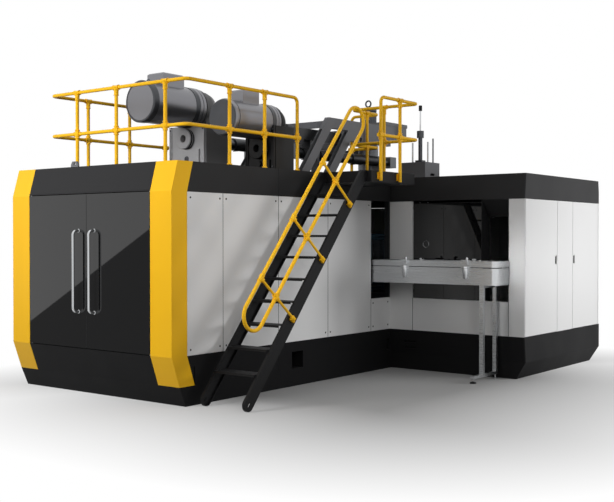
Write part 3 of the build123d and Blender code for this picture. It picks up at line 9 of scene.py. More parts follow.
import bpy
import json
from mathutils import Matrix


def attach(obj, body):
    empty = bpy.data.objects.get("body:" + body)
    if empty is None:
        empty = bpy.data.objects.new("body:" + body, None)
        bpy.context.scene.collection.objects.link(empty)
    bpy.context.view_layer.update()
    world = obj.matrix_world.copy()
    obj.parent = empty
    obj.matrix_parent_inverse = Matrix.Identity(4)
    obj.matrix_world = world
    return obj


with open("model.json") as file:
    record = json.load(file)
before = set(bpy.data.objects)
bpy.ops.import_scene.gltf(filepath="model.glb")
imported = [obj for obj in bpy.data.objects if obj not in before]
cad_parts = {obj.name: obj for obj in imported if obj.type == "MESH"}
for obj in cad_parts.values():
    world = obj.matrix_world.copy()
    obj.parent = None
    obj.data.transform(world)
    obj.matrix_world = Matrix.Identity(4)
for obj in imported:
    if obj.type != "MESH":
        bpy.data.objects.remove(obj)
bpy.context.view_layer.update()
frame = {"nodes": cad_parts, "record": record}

import bpy
import json
import math
import numpy as np

nodes_by_name = frame["nodes"]
slot_of = {part["node"]: part["material_slot"] for part in frame["record"]["subparts"]}

# %% [markdown]
# Colours are written as sRGB hex, the way a paint shop or an image editor shows them.
# Blender's shaders work in linear light, so one function turns a hex value to linear.

# %% Colour from hex


def linear(hex_colour):
    """sRGB hex to linear RGBA: below 0.04045 divide by 12.92, above it the 2.4 power curve."""
    srgb = np.array([int(hex_colour[i:i + 2], 16) for i in (1, 3, 5)]) / 255
    curve = np.where(srgb <= 0.04045, srgb / 12.92, ((srgb + 0.055) / 1.055) ** 2.4)
    return (*curve.tolist(), 1.0)


print("mid grey is", linear("#808080")[:3])

# %% [markdown]
# A material is a small network of nodes. It could be wired by hand in the shader editor.
# Here one helper adds a node with its settings, its values and its links, so that each
# network can be read from top to bottom. Where a colour or a gloss drifts, it runs between
# two ends, a little below and a little above the real one.

# %% One node at a time


def add(tree, kind, inputs=None, links=None, **settings):
    """Adds a node to a tree, sets its properties and input values and links its inputs."""
    made = tree.nodes.new(kind)
    for key, value in settings.items():
        setattr(made, key, value)
    for key, value in (inputs or {}).items():
        made.inputs[key].default_value = value
    for key, socket in (links or {}).items():
        tree.links.new(socket, made.inputs[key])
    return made


def new_material(name):
    """A node material with an empty tree, and the socket of the object's own coordinates."""
    material = bpy.data.materials.new(name)
    material.use_nodes = True
    tree = material.node_tree
    tree.nodes.clear()
    place = add(tree, "ShaderNodeTexCoord").outputs["Object"]
    return material, tree, place


def per_metre(millimetres):
    """Noise scale for a pattern whose features are that many millimetres apart."""
    return 1000.0 / millimetres


def two_ends(middle, share):
    """The ends of a drift: (1 - share) and (1 + share) times the middle."""
    return middle * (1 - share), middle * (1 + share)


def tone_ends(colour, share):
    """The ends of a hex colour's drift in linear light, as the values A and B of a mix."""
    dark, light = two_ends(np.array(linear(colour))[:3], share)
    return {"A": (*dark, 1), "B": (*light, 1)}


print("a pattern 30 mm apart has noise scale", round(per_metre(30), 1))

# %% [markdown]
# Almost every surface here is sheet steel or a casting with a coat of paint. Powder coat
# is dry polymer powder baked on: an even colour, a satin gloss and a faint orange peel a
# couple of millimetres across. At ten metres the peel is finer than a pixel, so it is drawn
# at 30 mm with hardly any height. A slow drift in tone, half a metre across, keeps a large
# panel from looking like a flat fill. Each could be a plain colour, but then a panel four
# metres long would look cut from paper. Black nylon and belt rubber are the same recipe,
# coarser, and the motors' enamel has metal flakes, so it takes a large share of metal.

# %% Powder coat
DRIFT_MM = 550
PEEL_MM = 30
PEEL_HEIGHT = 0.002
SATIN_SHARE = 0.12


def powder_coat(name, colour, roughness=0.42, gloss=0.5, drift=0.05, peel=0.03, metal=0.0):
    """Baked powder coat: colour, satin roughness, slow tone drift and faint orange peel."""
    material, tree, place = new_material(name)
    slow = add(tree, "ShaderNodeTexNoise", {"Scale": per_metre(DRIFT_MM), "Detail": 3.0},
               {"Vector": place})
    tone = add(tree, "ShaderNodeMix", tone_ends(colour, drift), {"Factor": slow.outputs["Fac"]},
               data_type="RGBA")
    smoothest, roughest = two_ends(roughness, SATIN_SHARE)
    satin = add(tree, "ShaderNodeMapRange", {"To Min": smoothest, "To Max": roughest},
                {"Value": slow.outputs["Fac"]})
    fine = add(tree, "ShaderNodeTexNoise", {"Scale": per_metre(PEEL_MM), "Detail": 2.0},
               {"Vector": place})
    bump = add(tree, "ShaderNodeBump", {"Strength": peel, "Distance": PEEL_HEIGHT},
               {"Height": fine.outputs["Fac"]})
    shader = add(tree, "ShaderNodeBsdfPrincipled",
                 {"Specular IOR Level": gloss, "Metallic": metal},
                 {"Base Color": tone.outputs["Result"], "Roughness": satin.outputs["Result"],
                  "Normal": bump.outputs["Normal"]})
    add(tree, "ShaderNodeOutputMaterial", links={"Surface": shader.outputs["BSDF"]})
    return material


# Each row: the real finish, its colour, roughness and gloss, then drift, peel and metal.
finishes = {
    # matt near-black that hardly shines: it makes the bed look heavy
    "black_paint": powder_coat("black powder coat on the welded bed", "#161617", 0.6, 0.12),
    # warm yellow with a soft highlight along each fold
    "yellow_paint": powder_coat("signal yellow powder coat", "#FFC41E", 0.38, 0.3, 0.03),
    # even white, so that only the seams divide it
    "white_paint": powder_coat("white powder coated panel", "#E9E9E9", 0.45, 0.3, 0.015),
    # a step lighter than the bed, so that the slanted fascias catch the light
    "fascia_paint": powder_coat("dark grey powder coated fascia", "#29292A", 0.5, 0.15),
    # dull dark grey, partly the frame's own grey and partly painted shade, so that the open inside
    # looks deep
    "frame_paint": powder_coat("grey frame enamel with painted shade", "#303133", 0.5, 0.2),
    # rough: the roof shows no mirrored drives
    "deck_paint": powder_coat("roof deck paint", "#2E2F31", 0.6, 0.15),
    # glossier than the bed: each folded tread has a thin light edge
    "stair_paint": powder_coat("black stair powder coat", "#19191A", 0.5, 0.15),
    # nearly the black of the panes, with a soft light along each bar
    "door_paint": powder_coat("door frame enamel", "#1C1C1D", 0.45, 0.2),
    # duller and grainier than paint
    "latch_plastic": powder_coat("black moulded nylon", "#111112", 0.5, 0.2, 0.04, 0.08),
    # bright above, dark below: the flakes mirror the sky and the deck in soft bands
    "motor_paint": powder_coat("metallic grey motor enamel", "#88888C", 0.34, 0.5, 0.04, 0.02,
                               0.8),
    # plain mid grey: the slanted frame stands out before the dark deck
    "support_paint": powder_coat("support frame enamel", "#707175", 0.4, 0.3),
    # half metallic: dark, with a bright line along each round piece
    "cylinder_paint": powder_coat("cylinder enamel", "#4C4E52", 0.35, 0.5, 0.05, 0.03, 0.5),
    # a cool tone that tells the moving table from its frame
    "carriage_paint": powder_coat("blue grey machine enamel", "#4F6B80", 0.4, 0.4),
    # matt and a little uneven, like cloth under rubber
    "belt_rubber": powder_coat("conveyor belt rubber", "#2E3033", 0.7, 0.3, 0.06, 0.15),
}
print(len(finishes), "coats")

# %% [markdown]
# Bare metal parts. Brushed stainless sheet is drawn over an abrasive belt, which leaves fine
# parallel scratches along the sheet: the eye gets long soft streaks in the reflection. The
# scratches are 0.2 mm apart, so they are drawn 6 mm apart and 600 mm long. An anisotropic
# shader could give the streaks too, but a stretched noise shows them from every side.

# %% Brushed and polished metal
SCRATCH_HEIGHT = 0.001
SCRATCH_SHARE = 0.2


def brushed_metal(name, colour, roughness=0.3, streak_mm=(600, 6, 6), depth=0.04, drift=0.05):
    """Bare metal: full metallic colour with streaks, their X, Y and Z sizes in millimetres."""
    material, tree, place = new_material(name)
    stretch = add(tree, "ShaderNodeMapping", {"Scale": [per_metre(mm) for mm in streak_mm]},
                  {"Vector": place})
    streaks = add(tree, "ShaderNodeTexNoise", {"Scale": 1.0, "Detail": 2.0},
                  {"Vector": stretch.outputs["Vector"]})
    tone = add(tree, "ShaderNodeMix", tone_ends(colour, drift),
               {"Factor": streaks.outputs["Fac"]}, data_type="RGBA")
    smoothest, roughest = two_ends(roughness, SCRATCH_SHARE)
    satin = add(tree, "ShaderNodeMapRange", {"To Min": smoothest, "To Max": roughest},
                {"Value": streaks.outputs["Fac"]})
    bump = add(tree, "ShaderNodeBump", {"Strength": depth, "Distance": SCRATCH_HEIGHT},
               {"Height": streaks.outputs["Fac"]})
    shader = add(tree, "ShaderNodeBsdfPrincipled", {"Metallic": 1.0},
                 {"Base Color": tone.outputs["Result"], "Roughness": satin.outputs["Result"],
                  "Normal": bump.outputs["Normal"]})
    add(tree, "ShaderNodeOutputMaterial", links={"Surface": shader.outputs["BSDF"]})
    return material


# Each row: the real metal, its colour and roughness, then streak sizes, depth and drift.
metals = {
    # ground all round: a dark, even grain
    "tool_steel": brushed_metal("ground tool steel", "#66686B", 0.35, (60, 60, 60)),
    # darkened by years of heat
    "heater_steel": brushed_metal("dull heater band steel", "#4A4B4D", 0.42, (80, 80, 80)),
    # light, with short cutter marks across
    "mould_aluminium": brushed_metal("milled mould aluminium", "#C2C4C6", 0.3, (40, 8, 40)),
    # satin, with faint streaks along the skirt
    "stainless_sheet": brushed_metal("brushed stainless sheet", "#C8CACC", 0.28, depth=0.015,
                                     drift=0.03),
    # nearly a mirror: it shows as thin bright and dark lines
    "bright_steel": brushed_metal("chromed steel", "#C8CACC", 0.1, (50, 50, 50), 0.0, 0.02),
}
finishes.update(metals)
print(len(metals), "metals")

# %% [markdown]
# The front doors and the safety window are smoke-tinted acrylic glass: a dark dye through the sheet
# and a polished skin. From outside it reads as near black with a clean reflection. It could be real
# glass in front of a dark room, which costs many more rays. A nearly black body with the acrylic's
# own shine looks the same in daylight, so its body colour is partly the dye and partly painted
# shade of the dark room behind.

# %% Tinted acrylic
DYE_MM = 900
DYE_SHARE = 0.08


def tinted_acrylic(name, colour, ior=1.62, roughness=0.03):
    """Polished dark acrylic: a near-black body colour, partly dye and partly painted shade of the
    room behind, under a clear mirror-like surface.
    """
    material, tree, place = new_material(name)
    wave = add(tree, "ShaderNodeTexNoise", {"Scale": per_metre(DYE_MM), "Detail": 1.0},
               {"Vector": place})
    tone = add(tree, "ShaderNodeMix", tone_ends(colour, DYE_SHARE),
               {"Factor": wave.outputs["Fac"]}, data_type="RGBA")
    shader = add(tree, "ShaderNodeBsdfPrincipled", {"IOR": ior, "Roughness": roughness},
                 {"Base Color": tone.outputs["Result"]})
    add(tree, "ShaderNodeOutputMaterial", links={"Surface": shader.outputs["BSDF"]})
    return material


# The near-black body is partly the dye and partly painted shade of the dark inside behind the
# panes.
finishes["tinted_glass"] = tinted_acrylic("tinted acrylic glass", "#0D0D0E")
print("tinted glass for the doors and the window")

# %% [markdown]
# The two gearboxes are iron castings with different paint. The main one has a pale machined
# front plate on a dark grey case, and the second one is black all over. They could be three
# materials on three pieces, but both castings are one node with one slot. So one material
# picks the paint by where the surface lies: X tells the drives apart and Y tells the front
# plate from the case behind it. Sand casting leaves a grain that the paint doesn't hide.

# %% Gearbox enamel
BETWEEN_DRIVES_X = 0.5
BEHIND_PLATE_Y = -1.826
GRAIN_MM = 22
GRAIN_STRENGTH, GRAIN_HEIGHT = 0.12, 0.003
PLATE_SHARE, CASE_SHARE = 0.08, 0.15


def gearbox_enamel(name, plate, case, second):
    """Cast iron under enamel: a grainy surface, three colours chosen by position."""
    material, tree, place = new_material(name)
    split = add(tree, "ShaderNodeSeparateXYZ", links={"Vector": place})
    on_second = add(tree, "ShaderNodeMath", {1: BETWEEN_DRIVES_X}, {0: split.outputs["X"]},
                    operation="GREATER_THAN")
    behind = add(tree, "ShaderNodeMath", {1: BEHIND_PLATE_Y}, {0: split.outputs["Y"]},
                 operation="GREATER_THAN")
    grain = add(tree, "ShaderNodeTexNoise", {"Scale": per_metre(GRAIN_MM), "Detail": 4.0},
                {"Vector": place})
    plate_tone, case_tone, second_tone = [
        add(tree, "ShaderNodeMix", tone_ends(colour, share), {"Factor": grain.outputs["Fac"]},
            data_type="RGBA").outputs["Result"]
        for colour, share in ((plate, PLATE_SHARE), (case, CASE_SHARE), (second, CASE_SHARE))]
    main = add(tree, "ShaderNodeMix", data_type="RGBA",
               links={"Factor": behind.outputs[0], "A": plate_tone, "B": case_tone})
    paint = add(tree, "ShaderNodeMix", data_type="RGBA",
                links={"Factor": on_second.outputs[0], "A": main.outputs["Result"],
                       "B": second_tone})
    bump = add(tree, "ShaderNodeBump", {"Strength": GRAIN_STRENGTH, "Distance": GRAIN_HEIGHT},
               {"Height": grain.outputs["Fac"]})
    shader = add(tree, "ShaderNodeBsdfPrincipled", {"Roughness": 0.45, "Specular IOR Level": 0.3},
                 {"Base Color": paint.outputs["Result"], "Normal": bump.outputs["Normal"]})
    add(tree, "ShaderNodeOutputMaterial", links={"Surface": shader.outputs["BSDF"]})
    return material


finishes["gearbox_paint"] = gearbox_enamel("gearbox casting enamel", "#ACACAE", "#6C6C6D",
                                           "#0B0B0C")
print("one enamel for both gearboxes")

# %% [markdown]
# The record names a material slot for every CAD node. The finish of that name goes into
# the slot, so that the same paint is the same material on every node that has it.

# %% Finishes on the CAD nodes
for node_name, slot_name in slot_of.items():
    for material_slot in nodes_by_name[node_name].material_slots:
        material_slot.material = finishes[slot_name]
print(len(finishes), "finishes on", len(slot_of), "nodes")

# %% [markdown]
# The machine stands on a plain pale floor against white, like the curved sweep behind a
# studio table. A curved sheet could be modelled, but its bend would show from some sides.
# So the floor is flat, and its material changes from a lit floor near the machine to plain white
# further out. The lit floor keeps the real soft shadow. The change follows the distance from the
# machine, so it also paints a shadow that fades outward and is darkest in the corner by the wing.
# Two small networks are needed for it.
# The first tells rays that come from the camera or a mirror-like surface from scattered
# ones, which see a darker floor, as on the real one. The second measures how far a point
# lies from a block.

# %% Rays and distances


def background_ray(tree):
    """1 for a camera, glossy or transmission ray, and 0 for any other."""
    rays = add(tree, "ShaderNodeLightPath").outputs
    first = add(tree, "ShaderNodeMath", operation="MAXIMUM",
                links={0: rays["Is Camera Ray"], 1: rays["Is Glossy Ray"]})
    both = add(tree, "ShaderNodeMath", operation="MAXIMUM",
               links={0: first.outputs[0], 1: rays["Is Transmission Ray"]})
    return both.outputs[0]


def distance_from_block(tree, place, centre, half):
    """Distance from a block: the length of |p - centre| - half, with negatives cut to 0."""
    offset = add(tree, "ShaderNodeVectorMath", {1: centre}, {0: place}, operation="SUBTRACT")
    folded = add(tree, "ShaderNodeVectorMath", links={0: offset.outputs[0]}, operation="ABSOLUTE")
    past = add(tree, "ShaderNodeVectorMath", {1: half}, {0: folded.outputs[0]},
               operation="SUBTRACT")
    outside = add(tree, "ShaderNodeVectorMath", {1: (0, 0, 0)}, {0: past.outputs[0]},
                  operation="MAXIMUM")
    length = add(tree, "ShaderNodeVectorMath", links={0: outside.outputs[0]}, operation="LENGTH")
    return length.outputs["Value"]


print("the floor is white for camera, glossy and transmission rays")

# %% [markdown]
# The floor is one flat square. How far out a point lies is measured from three blocks: the cabinet,
# the wing, and the corner between them, where the painted shadow is darkest.

# %% Floor
HALF_FLOOR = 60.0
# Near the machine the camera sees this grey. Its fade to white further out paints the soft shadow
# around the machine.
FLOOR_SEEN, FLOOR_SCATTERED = "#A8A8A8", "#9A9A9A"
FLOOR_GLOW = 0.02
SHADOW_FADE_LENGTH = 4.2
BESIDE_FOOTPRINT = 2.2
# Each block: its centre and its half sizes in X, Y and Z.
CABINET = ((0.0, 0.0, 0.0), (1.58, 3.66, 1.0))
WING = ((2.68, 2.44, 0.0), (1.1, 1.45, 1.0))
INNER_CORNER = ((2.6, -0.7, 0.0), (1.02, 1.7, 1.0))


def placed(name, data):
    """An object in the scene for a mesh, a lamp or a camera."""
    made = bpy.data.objects.new(name, data)
    bpy.context.collection.objects.link(made)
    return made


def flat_sheet(name, corners):
    """An object of one flat face between its corners."""
    mesh = bpy.data.meshes.new(name)
    mesh.from_pydata(corners, [], [tuple(range(len(corners)))])
    return placed(name, mesh)


floor = flat_sheet("floor", [(x * HALF_FLOOR, y * HALF_FLOOR, 0)
                             for x, y in ((-1, -1), (1, -1), (1, 1), (-1, 1))])
floor_material, tree, place = new_material("pale studio floor with painted shadow")
seen = background_ray(tree)
floor_tone = add(tree, "ShaderNodeMix", {"A": linear(FLOOR_SCATTERED), "B": linear(FLOOR_SEEN)},
                 {"Factor": seen}, data_type="RGBA")
lit = add(tree, "ShaderNodeBsdfDiffuse", links={"Color": floor_tone.outputs["Result"]})
glow_level = add(tree, "ShaderNodeMath", {1: FLOOR_GLOW}, {0: seen}, operation="MULTIPLY")
glow = add(tree, "ShaderNodeEmission", links={"Strength": glow_level.outputs[0]})
near_floor = add(tree, "ShaderNodeAddShader", links={0: lit.outputs[0], 1: glow.outputs[0]})
far_floor = add(tree, "ShaderNodeEmission", links={"Strength": seen})
cabinet_gap, wing_gap, corner_gap = [distance_from_block(tree, place, centre, half)
                                     for centre, half in (CABINET, WING, INNER_CORNER)]
nearest = add(tree, "ShaderNodeMath", links={0: cabinet_gap, 1: wing_gap}, operation="MINIMUM")
around = add(tree, "ShaderNodeMath", {1: BESIDE_FOOTPRINT}, {0: nearest.outputs[0]},
             operation="ADD")
distance = add(tree, "ShaderNodeMath", links={0: around.outputs[0], 1: corner_gap},
               operation="MINIMUM")
# Painted shadow: the lit grey floor fades to plain white over this distance from the blocks.
shadow_fade = add(tree, "ShaderNodeMapRange", {"From Min": 0.0, "From Max": SHADOW_FADE_LENGTH},
            {"Value": distance.outputs[0]})
whole = add(tree, "ShaderNodeMixShader",
            links={0: shadow_fade.outputs["Result"], 1: near_floor.outputs[0], 2: far_floor.outputs[0]})
add(tree, "ShaderNodeOutputMaterial", links={"Surface": whole.outputs[0]})
floor.data.materials.append(floor_material)
print("floor", 2 * HALF_FLOOR, "m square")

# %% [markdown]
# The world is plain white where the camera or a mirror-like surface looks into it. For
# scattered light it is dim, so that the lamps shape the machine. A photograph of a studio
# could light it too, but plain values are easier to match against the picture.

# %% World
AMBIENT = 0.16
world = bpy.data.worlds.new("white studio")
bpy.context.scene.world = world
world.use_nodes = True
world.node_tree.nodes.clear()
tree = world.node_tree
level = add(tree, "ShaderNodeMapRange", {"To Min": AMBIENT, "To Max": 1.0},
            {"Value": background_ray(tree)})
sky = add(tree, "ShaderNodeBackground", {"Color": (1, 1, 1, 1)},
          {"Strength": level.outputs["Result"]})
add(tree, "ShaderNodeOutputWorld", links={"Surface": sky.outputs[0]})
print("world at", AMBIENT, "of white for scattered light")

# %% [markdown]
# A square soft lamp in front of the doors is the key. It stands to the left, so the main
# cabinet keeps it off the inner corner of the wing. A fill lamp near the long side's front
# end fades toward the wing. A third lamp stands off the wing's end face, which is the
# brightest white in the photograph, and a faint narrow one lifts the wing's round corner.
# One lamp behind keeps the far sides readable, and a broad sun from above lights the floor.
# Soft lamps were chosen over bare points because the shadows have no hard edge.

# %% Lamps


def aim(holder, travel):
    """Turns an object so that its -Z points along a vector."""
    way = np.array(travel, dtype=float)
    way /= np.linalg.norm(way)
    flat = math.hypot(way[0], way[1])
    holder.rotation_euler = (math.atan2(flat, -way[2]), 0, math.atan2(way[1], way[0]) - math.pi / 2)


def soft_lamp(name, place, target, size, watts, beam_degrees=180):
    """Square area lamp at a place, facing a target, unseen by the camera and by reflections."""
    lamp = bpy.data.lights.new(name, "AREA")
    lamp.shape = "SQUARE"
    lamp.size = size
    lamp.energy = watts
    lamp.spread = math.radians(beam_degrees)
    holder = placed(name, lamp)
    holder.location = place
    aim(holder, np.array(target) - np.array(place))
    holder.visible_camera = False
    holder.visible_glossy = False
    return holder


def sun(name, travel, strength, spread_degrees):
    """A sun lamp whose light travels along a vector."""
    lamp = bpy.data.lights.new(name, "SUN")
    lamp.energy = strength
    lamp.angle = math.radians(spread_degrees)
    holder = placed(name, lamp)
    aim(holder, travel)
    return holder


# Each lamp: its place, what it faces, its width in metres, its watts and its beam in degrees.
lamps = [
    soft_lamp("key before the doors", (-0.8, -9.4, 4.6), (0.0, -3.9, 1.6), 3.0, 380),
    soft_lamp("fill on the long side", (7.0, -5.0, 4.0), (1.6, -2.2, 1.9), 2.8, 27, 76),
    soft_lamp("lamp off the wing end", (9.0, 3.9, 2.4), (3.9, 2.4, 1.6), 2.0, 245),
    soft_lamp("strip on the wing corner", (6.0, -6.5, 2.4), (3.9, 1.0, 1.75), 0.5, 1.1, 10),
    soft_lamp("lamp behind", (-8.0, 8.6, 2.2), (-1.2, 3.2, 1.5), 2.4, 150, 70),
    sun("top light", (0.0, 0.1, -1.0), 0.25, 60),
]
print(len(lamps), "lamps")

# %% [markdown]
# A polished dark pane shows what stands opposite. In the photograph something dark is mirrored in
# the doors' lower right, with a clean slanting edge. A dim glowing card stands there. Only
# mirror-like rays see it, so it is a painted reflection: the camera, scattered rays and shadow rays
# all pass it by.

# %% Card for the painted reflection
PAINTED_REFLECTION_GLOW = 0.2
CARD_Y = -5.905
CARD_NEAR_X, CARD_FAR_X = -0.605, -4.112
CARD_LOW_Z, CARD_NEAR_TOP_Z, CARD_FAR_TOP_Z = 0.02, 2.403, 0.538


def card(name, corners):
    """A flat, dim, glowing card that only mirror-like rays can see: a painted reflection."""
    holder = flat_sheet(name, corners)
    painted_reflection_glow, tree, _ = new_material(name + " cloth")
    # The card's glow paints the dark reflection in the doors.
    dim = add(tree, "ShaderNodeEmission", {"Strength": PAINTED_REFLECTION_GLOW})
    add(tree, "ShaderNodeOutputMaterial", links={"Surface": dim.outputs[0]})
    holder.data.materials.append(painted_reflection_glow)
    for ray in ("camera", "diffuse", "transmission", "volume_scatter", "shadow"):
        setattr(holder, "visible_" + ray, False)
    print(name, "glows at", PAINTED_REFLECTION_GLOW)


card("painted reflection card before the doors", [(CARD_NEAR_X, CARD_Y, CARD_NEAR_TOP_Z),
                               (CARD_FAR_X, CARD_Y, CARD_FAR_TOP_Z),
                               (CARD_FAR_X, CARD_Y, CARD_LOW_Z),
                               (CARD_NEAR_X, CARD_Y, CARD_LOW_Z)])

# %% [markdown]
# The small hardware is worked out as surfaces. It could be modelled by hand, or cut from
# cylinders with booleans, but a formula keeps a piece closed and can be called again at
# another place. A closed skin is a stack of rings, one array of points per ring, with
# quads between neighbours and a fan on each end, so that it has no open edge.

# %% Closed skin


def round_steps(count):
    """Angles of equal steps, once round a circle."""
    return np.arange(count) * 2 * np.pi / count


def skin(rings):
    """Closed surface over rings[i, j]: quads between neighbours, and a fan on each end.

    One quad is (i, j), (i, j+1), (i+1, j+1), (i+1, j).
    """
    rings = np.asarray(rings, dtype=float)
    count, sides = rings.shape[:2]
    index = np.arange(count * sides).reshape(count, sides)
    after = np.roll(index, -1, axis=1)
    quads = np.stack([index[:-1], after[:-1], after[1:], index[1:]], axis=-1).reshape(-1, 4)
    first, last = count * sides, count * sides + 1
    start = np.stack([after[0], index[0], np.full(sides, first)], axis=-1)
    end = np.stack([index[-1], after[-1], np.full(sides, last)], axis=-1)
    ends = [rings[:1].mean(axis=1), rings[-1:].mean(axis=1)]
    return np.concatenate([rings.reshape(-1, 3), *ends]), quads, np.concatenate([start, end])


print("twelve steps round a circle are", math.degrees(round_steps(12)[1]), "degrees each")

# %% [markdown]
# Most of these pieces were turned on a lathe, or cast like turned ones. A profile of (t, r)
# pairs, the distance along an axis and the radius there, is carried round the axis. The
# Screw modifier could do it as well; as one array there is no axis object to place.

# %% Turned profile
AXES = {"x": (1.0, 0.0, 0.0), "y": (0.0, 1.0, 0.0), "z": (0.0, 0.0, 1.0)}
UP = (0, 0, 1)


def across(way):
    """A unit vector along a direction and two more that make a right-handed frame with it."""
    way = np.asarray(way, dtype=float) / np.linalg.norm(way)
    helper = np.array(AXES["z"]) if abs(way[2]) < 0.9 else np.array(AXES["x"])
    side = np.cross(helper, way)
    side /= np.linalg.norm(side)
    return way, side, np.cross(way, side)


def carried_round(profile, origin, way, sides):
    """One ring per (t, r) pair: p = origin + t * way + r * (cos a * side + sin a * up)."""
    way, side, up = across(way)
    along, radius = np.asarray(profile, dtype=float).T
    a = round_steps(sides)[:, None]
    spoke = np.cos(a) * side + np.sin(a) * up
    return (np.asarray(origin, dtype=float) + along[:, None, None] * way
            + radius[:, None, None] * spoke)


def turned(profile, origin, way, sides=16):
    """Surface of revolution: a profile of (t, r) pairs carried round an axis, with ends."""
    return skin(carried_round(profile, origin, way, sides))


print("a turned rod of 16 sides has", len(turned([(0, 1), (1, 1)], (0, 0, 0), UP)[0]), "points")

# %% [markdown]
# A row of the same small part is one piece here, made from a list of skins, because an
# object for every screw would be hundreds of objects. The points are already where they
# belong, so the object stays at the origin, unturned, and rides on a body of the frame.
# Its faces are smooth, and edges stay sharp where two faces meet at a steep angle.

# %% One piece from many skins
CREASE_DEGREES, SOFT_CREASE_DEGREES = 35, 60


def make(name, shapes, slot, body, crease_degrees=CREASE_DEGREES):
    """One object from a list of skins, with its finish, riding on a body of the frame."""
    starts = np.cumsum([0] + [len(shape[0]) for shape in shapes])[:-1]
    points = np.concatenate([shape[0] for shape in shapes])
    faces = [face for shape, start in zip(shapes, starts)
             for part in shape[1:] for face in (part + start).tolist()]
    mesh = bpy.data.meshes.new(name)
    mesh.from_pydata(points.tolist(), [], faces)
    mesh.polygons.foreach_set("use_smooth", np.ones(len(mesh.polygons), dtype=bool))
    mesh.set_sharp_from_angle(angle=math.radians(crease_degrees))
    mesh.materials.append(finishes[slot])
    piece = placed(name, mesh)
    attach(piece, body)
    print(name, len(mesh.polygons), "faces")


print("edges over", CREASE_DEGREES, "degrees stay sharp")

# %% [markdown]
# The guard rails are 48 mm tubes joined by cast slip-on fittings, as on most modular
# railings: a sleeve slides over the tube, ends in a small collar and is held by a socket
# screw. They could be booleans of pipes, but a sleeve is simply a turned profile, as the
# pattern for its casting is, and one function gives it at any place and along any axis.

# %% Sleeves
TUBE = 0.024
SLEEVE = 0.0305
COLLAR = 0.0345
SLEEVE_HALF = 0.052
UPRIGHT_HALF = SLEEVE_HALF * 1.15
COLLAR_LENGTH = 0.009
WAIST_START = 0.014
LIP = 0.001
RAIL_FLARE = 0.046
FLARED_LENGTH = 0.105
FLARE_START = 0.45
SET_SCREW_PROFILE = [(SLEEVE - 0.002, 0.0075), (SLEEVE + 0.004, 0.0075), (SLEEVE + 0.005, 0.0045),
                     (SLEEVE + 0.001, 0.004)]


def sleeve(middle, way, half=SLEEVE_HALF, bore=TUBE):
    """Cast sleeve on a tube, turned: collar, waist, collar, and lips that close on the tube."""
    wall, collar = SLEEVE - TUBE + bore, COLLAR - TUBE + bore
    profile = [(-half, bore - LIP), (-half, collar), (-half + COLLAR_LENGTH, collar),
               (-half + WAIST_START, wall), (half - WAIST_START, wall),
               (half - COLLAR_LENGTH, collar), (half, collar), (half, bore - LIP)]
    return turned(profile, middle, way, sides=18)


def flared_sleeve(top):
    """Sleeve under a top rail, turned: its upper part widens like a trumpet, r = r0 + k t^2."""
    t = np.linspace(0, 1, 6)
    flare = np.stack([FLARED_LENGTH * (FLARE_START + (1 - FLARE_START) * t),
                      SLEEVE + (RAIL_FLARE - SLEEVE) * t * t], axis=-1)
    profile = [(0.0, TUBE - LIP), (0.0, COLLAR), (COLLAR_LENGTH, COLLAR), (WAIST_START, SLEEVE),
               *flare, (FLARED_LENGTH, TUBE - LIP)]
    return turned(profile, np.array(top) - (0, 0, FLARED_LENGTH), UP, sides=18)


def set_screw(middle, way):
    """Socket screw head standing 5 mm out of a sleeve, turned, with a hollow in its end."""
    return turned(SET_SCREW_PROFILE, middle, way, sides=8)


print("a sleeve is", round(2000 * SLEEVE_HALF), "mm long on a tube of", round(2000 * TUBE), "mm")

# %% [markdown]
# Where a rail passes a post there is a sleeve on each. A post that ends under the top rail
# has a sleeve that widens toward it. The last post of each run meets the bend of the rail
# instead, and has a fitting on its knee rail only. A fitting could be copied to each place
# by hand. Here the posts are a table, and one loop goes through it.

# %% Rail fittings
SCREW_BELOW = 0.028
TOP_SCREW_BELOW = SCREW_BELOW + SLEEVE_HALF * 0.9
TOP_RAIL_Z = 4.08
KNEE_RAIL_Z = 3.515
LANDING_KNEE_Z = 3.545
FRONT_RAIL_Y, LEFT_RAIL_X, RIGHT_RAIL_X, LANDING_RAIL_X = -3.605, -1.09, 1.544, 2.559
# Each post: X, Y, the way of its rails, the knee rail's height, and whether it has a top sleeve.
POSTS = [
    (1.17, FRONT_RAIL_Y, "x", KNEE_RAIL_Z, True),
    (0.252, FRONT_RAIL_Y, "x", KNEE_RAIL_Z, True),
    (-0.54, FRONT_RAIL_Y, "x", KNEE_RAIL_Z, True),
    (LEFT_RAIL_X, -2.955, "y", KNEE_RAIL_Z, True),
    (LEFT_RAIL_X, -2.155, "y", KNEE_RAIL_Z, True),
    (LEFT_RAIL_X, -1.405, "y", KNEE_RAIL_Z, False),
    (RIGHT_RAIL_X, -2.81, "y", KNEE_RAIL_Z, True),
    (RIGHT_RAIL_X, -2.099, "y", KNEE_RAIL_Z, True),
    (RIGHT_RAIL_X, -1.382, "y", KNEE_RAIL_Z, False),
    (LANDING_RAIL_X, -0.769, "y", LANDING_KNEE_Z, False),
    (LANDING_RAIL_X, -0.267, "y", LANDING_KNEE_Z, True),
    (1.966, 0.224, "x", LANDING_KNEE_Z, True),
    (1.375, 0.635, "y", LANDING_KNEE_Z, True),
    (0.848, 0.96, "x", LANDING_KNEE_Z, False),
]

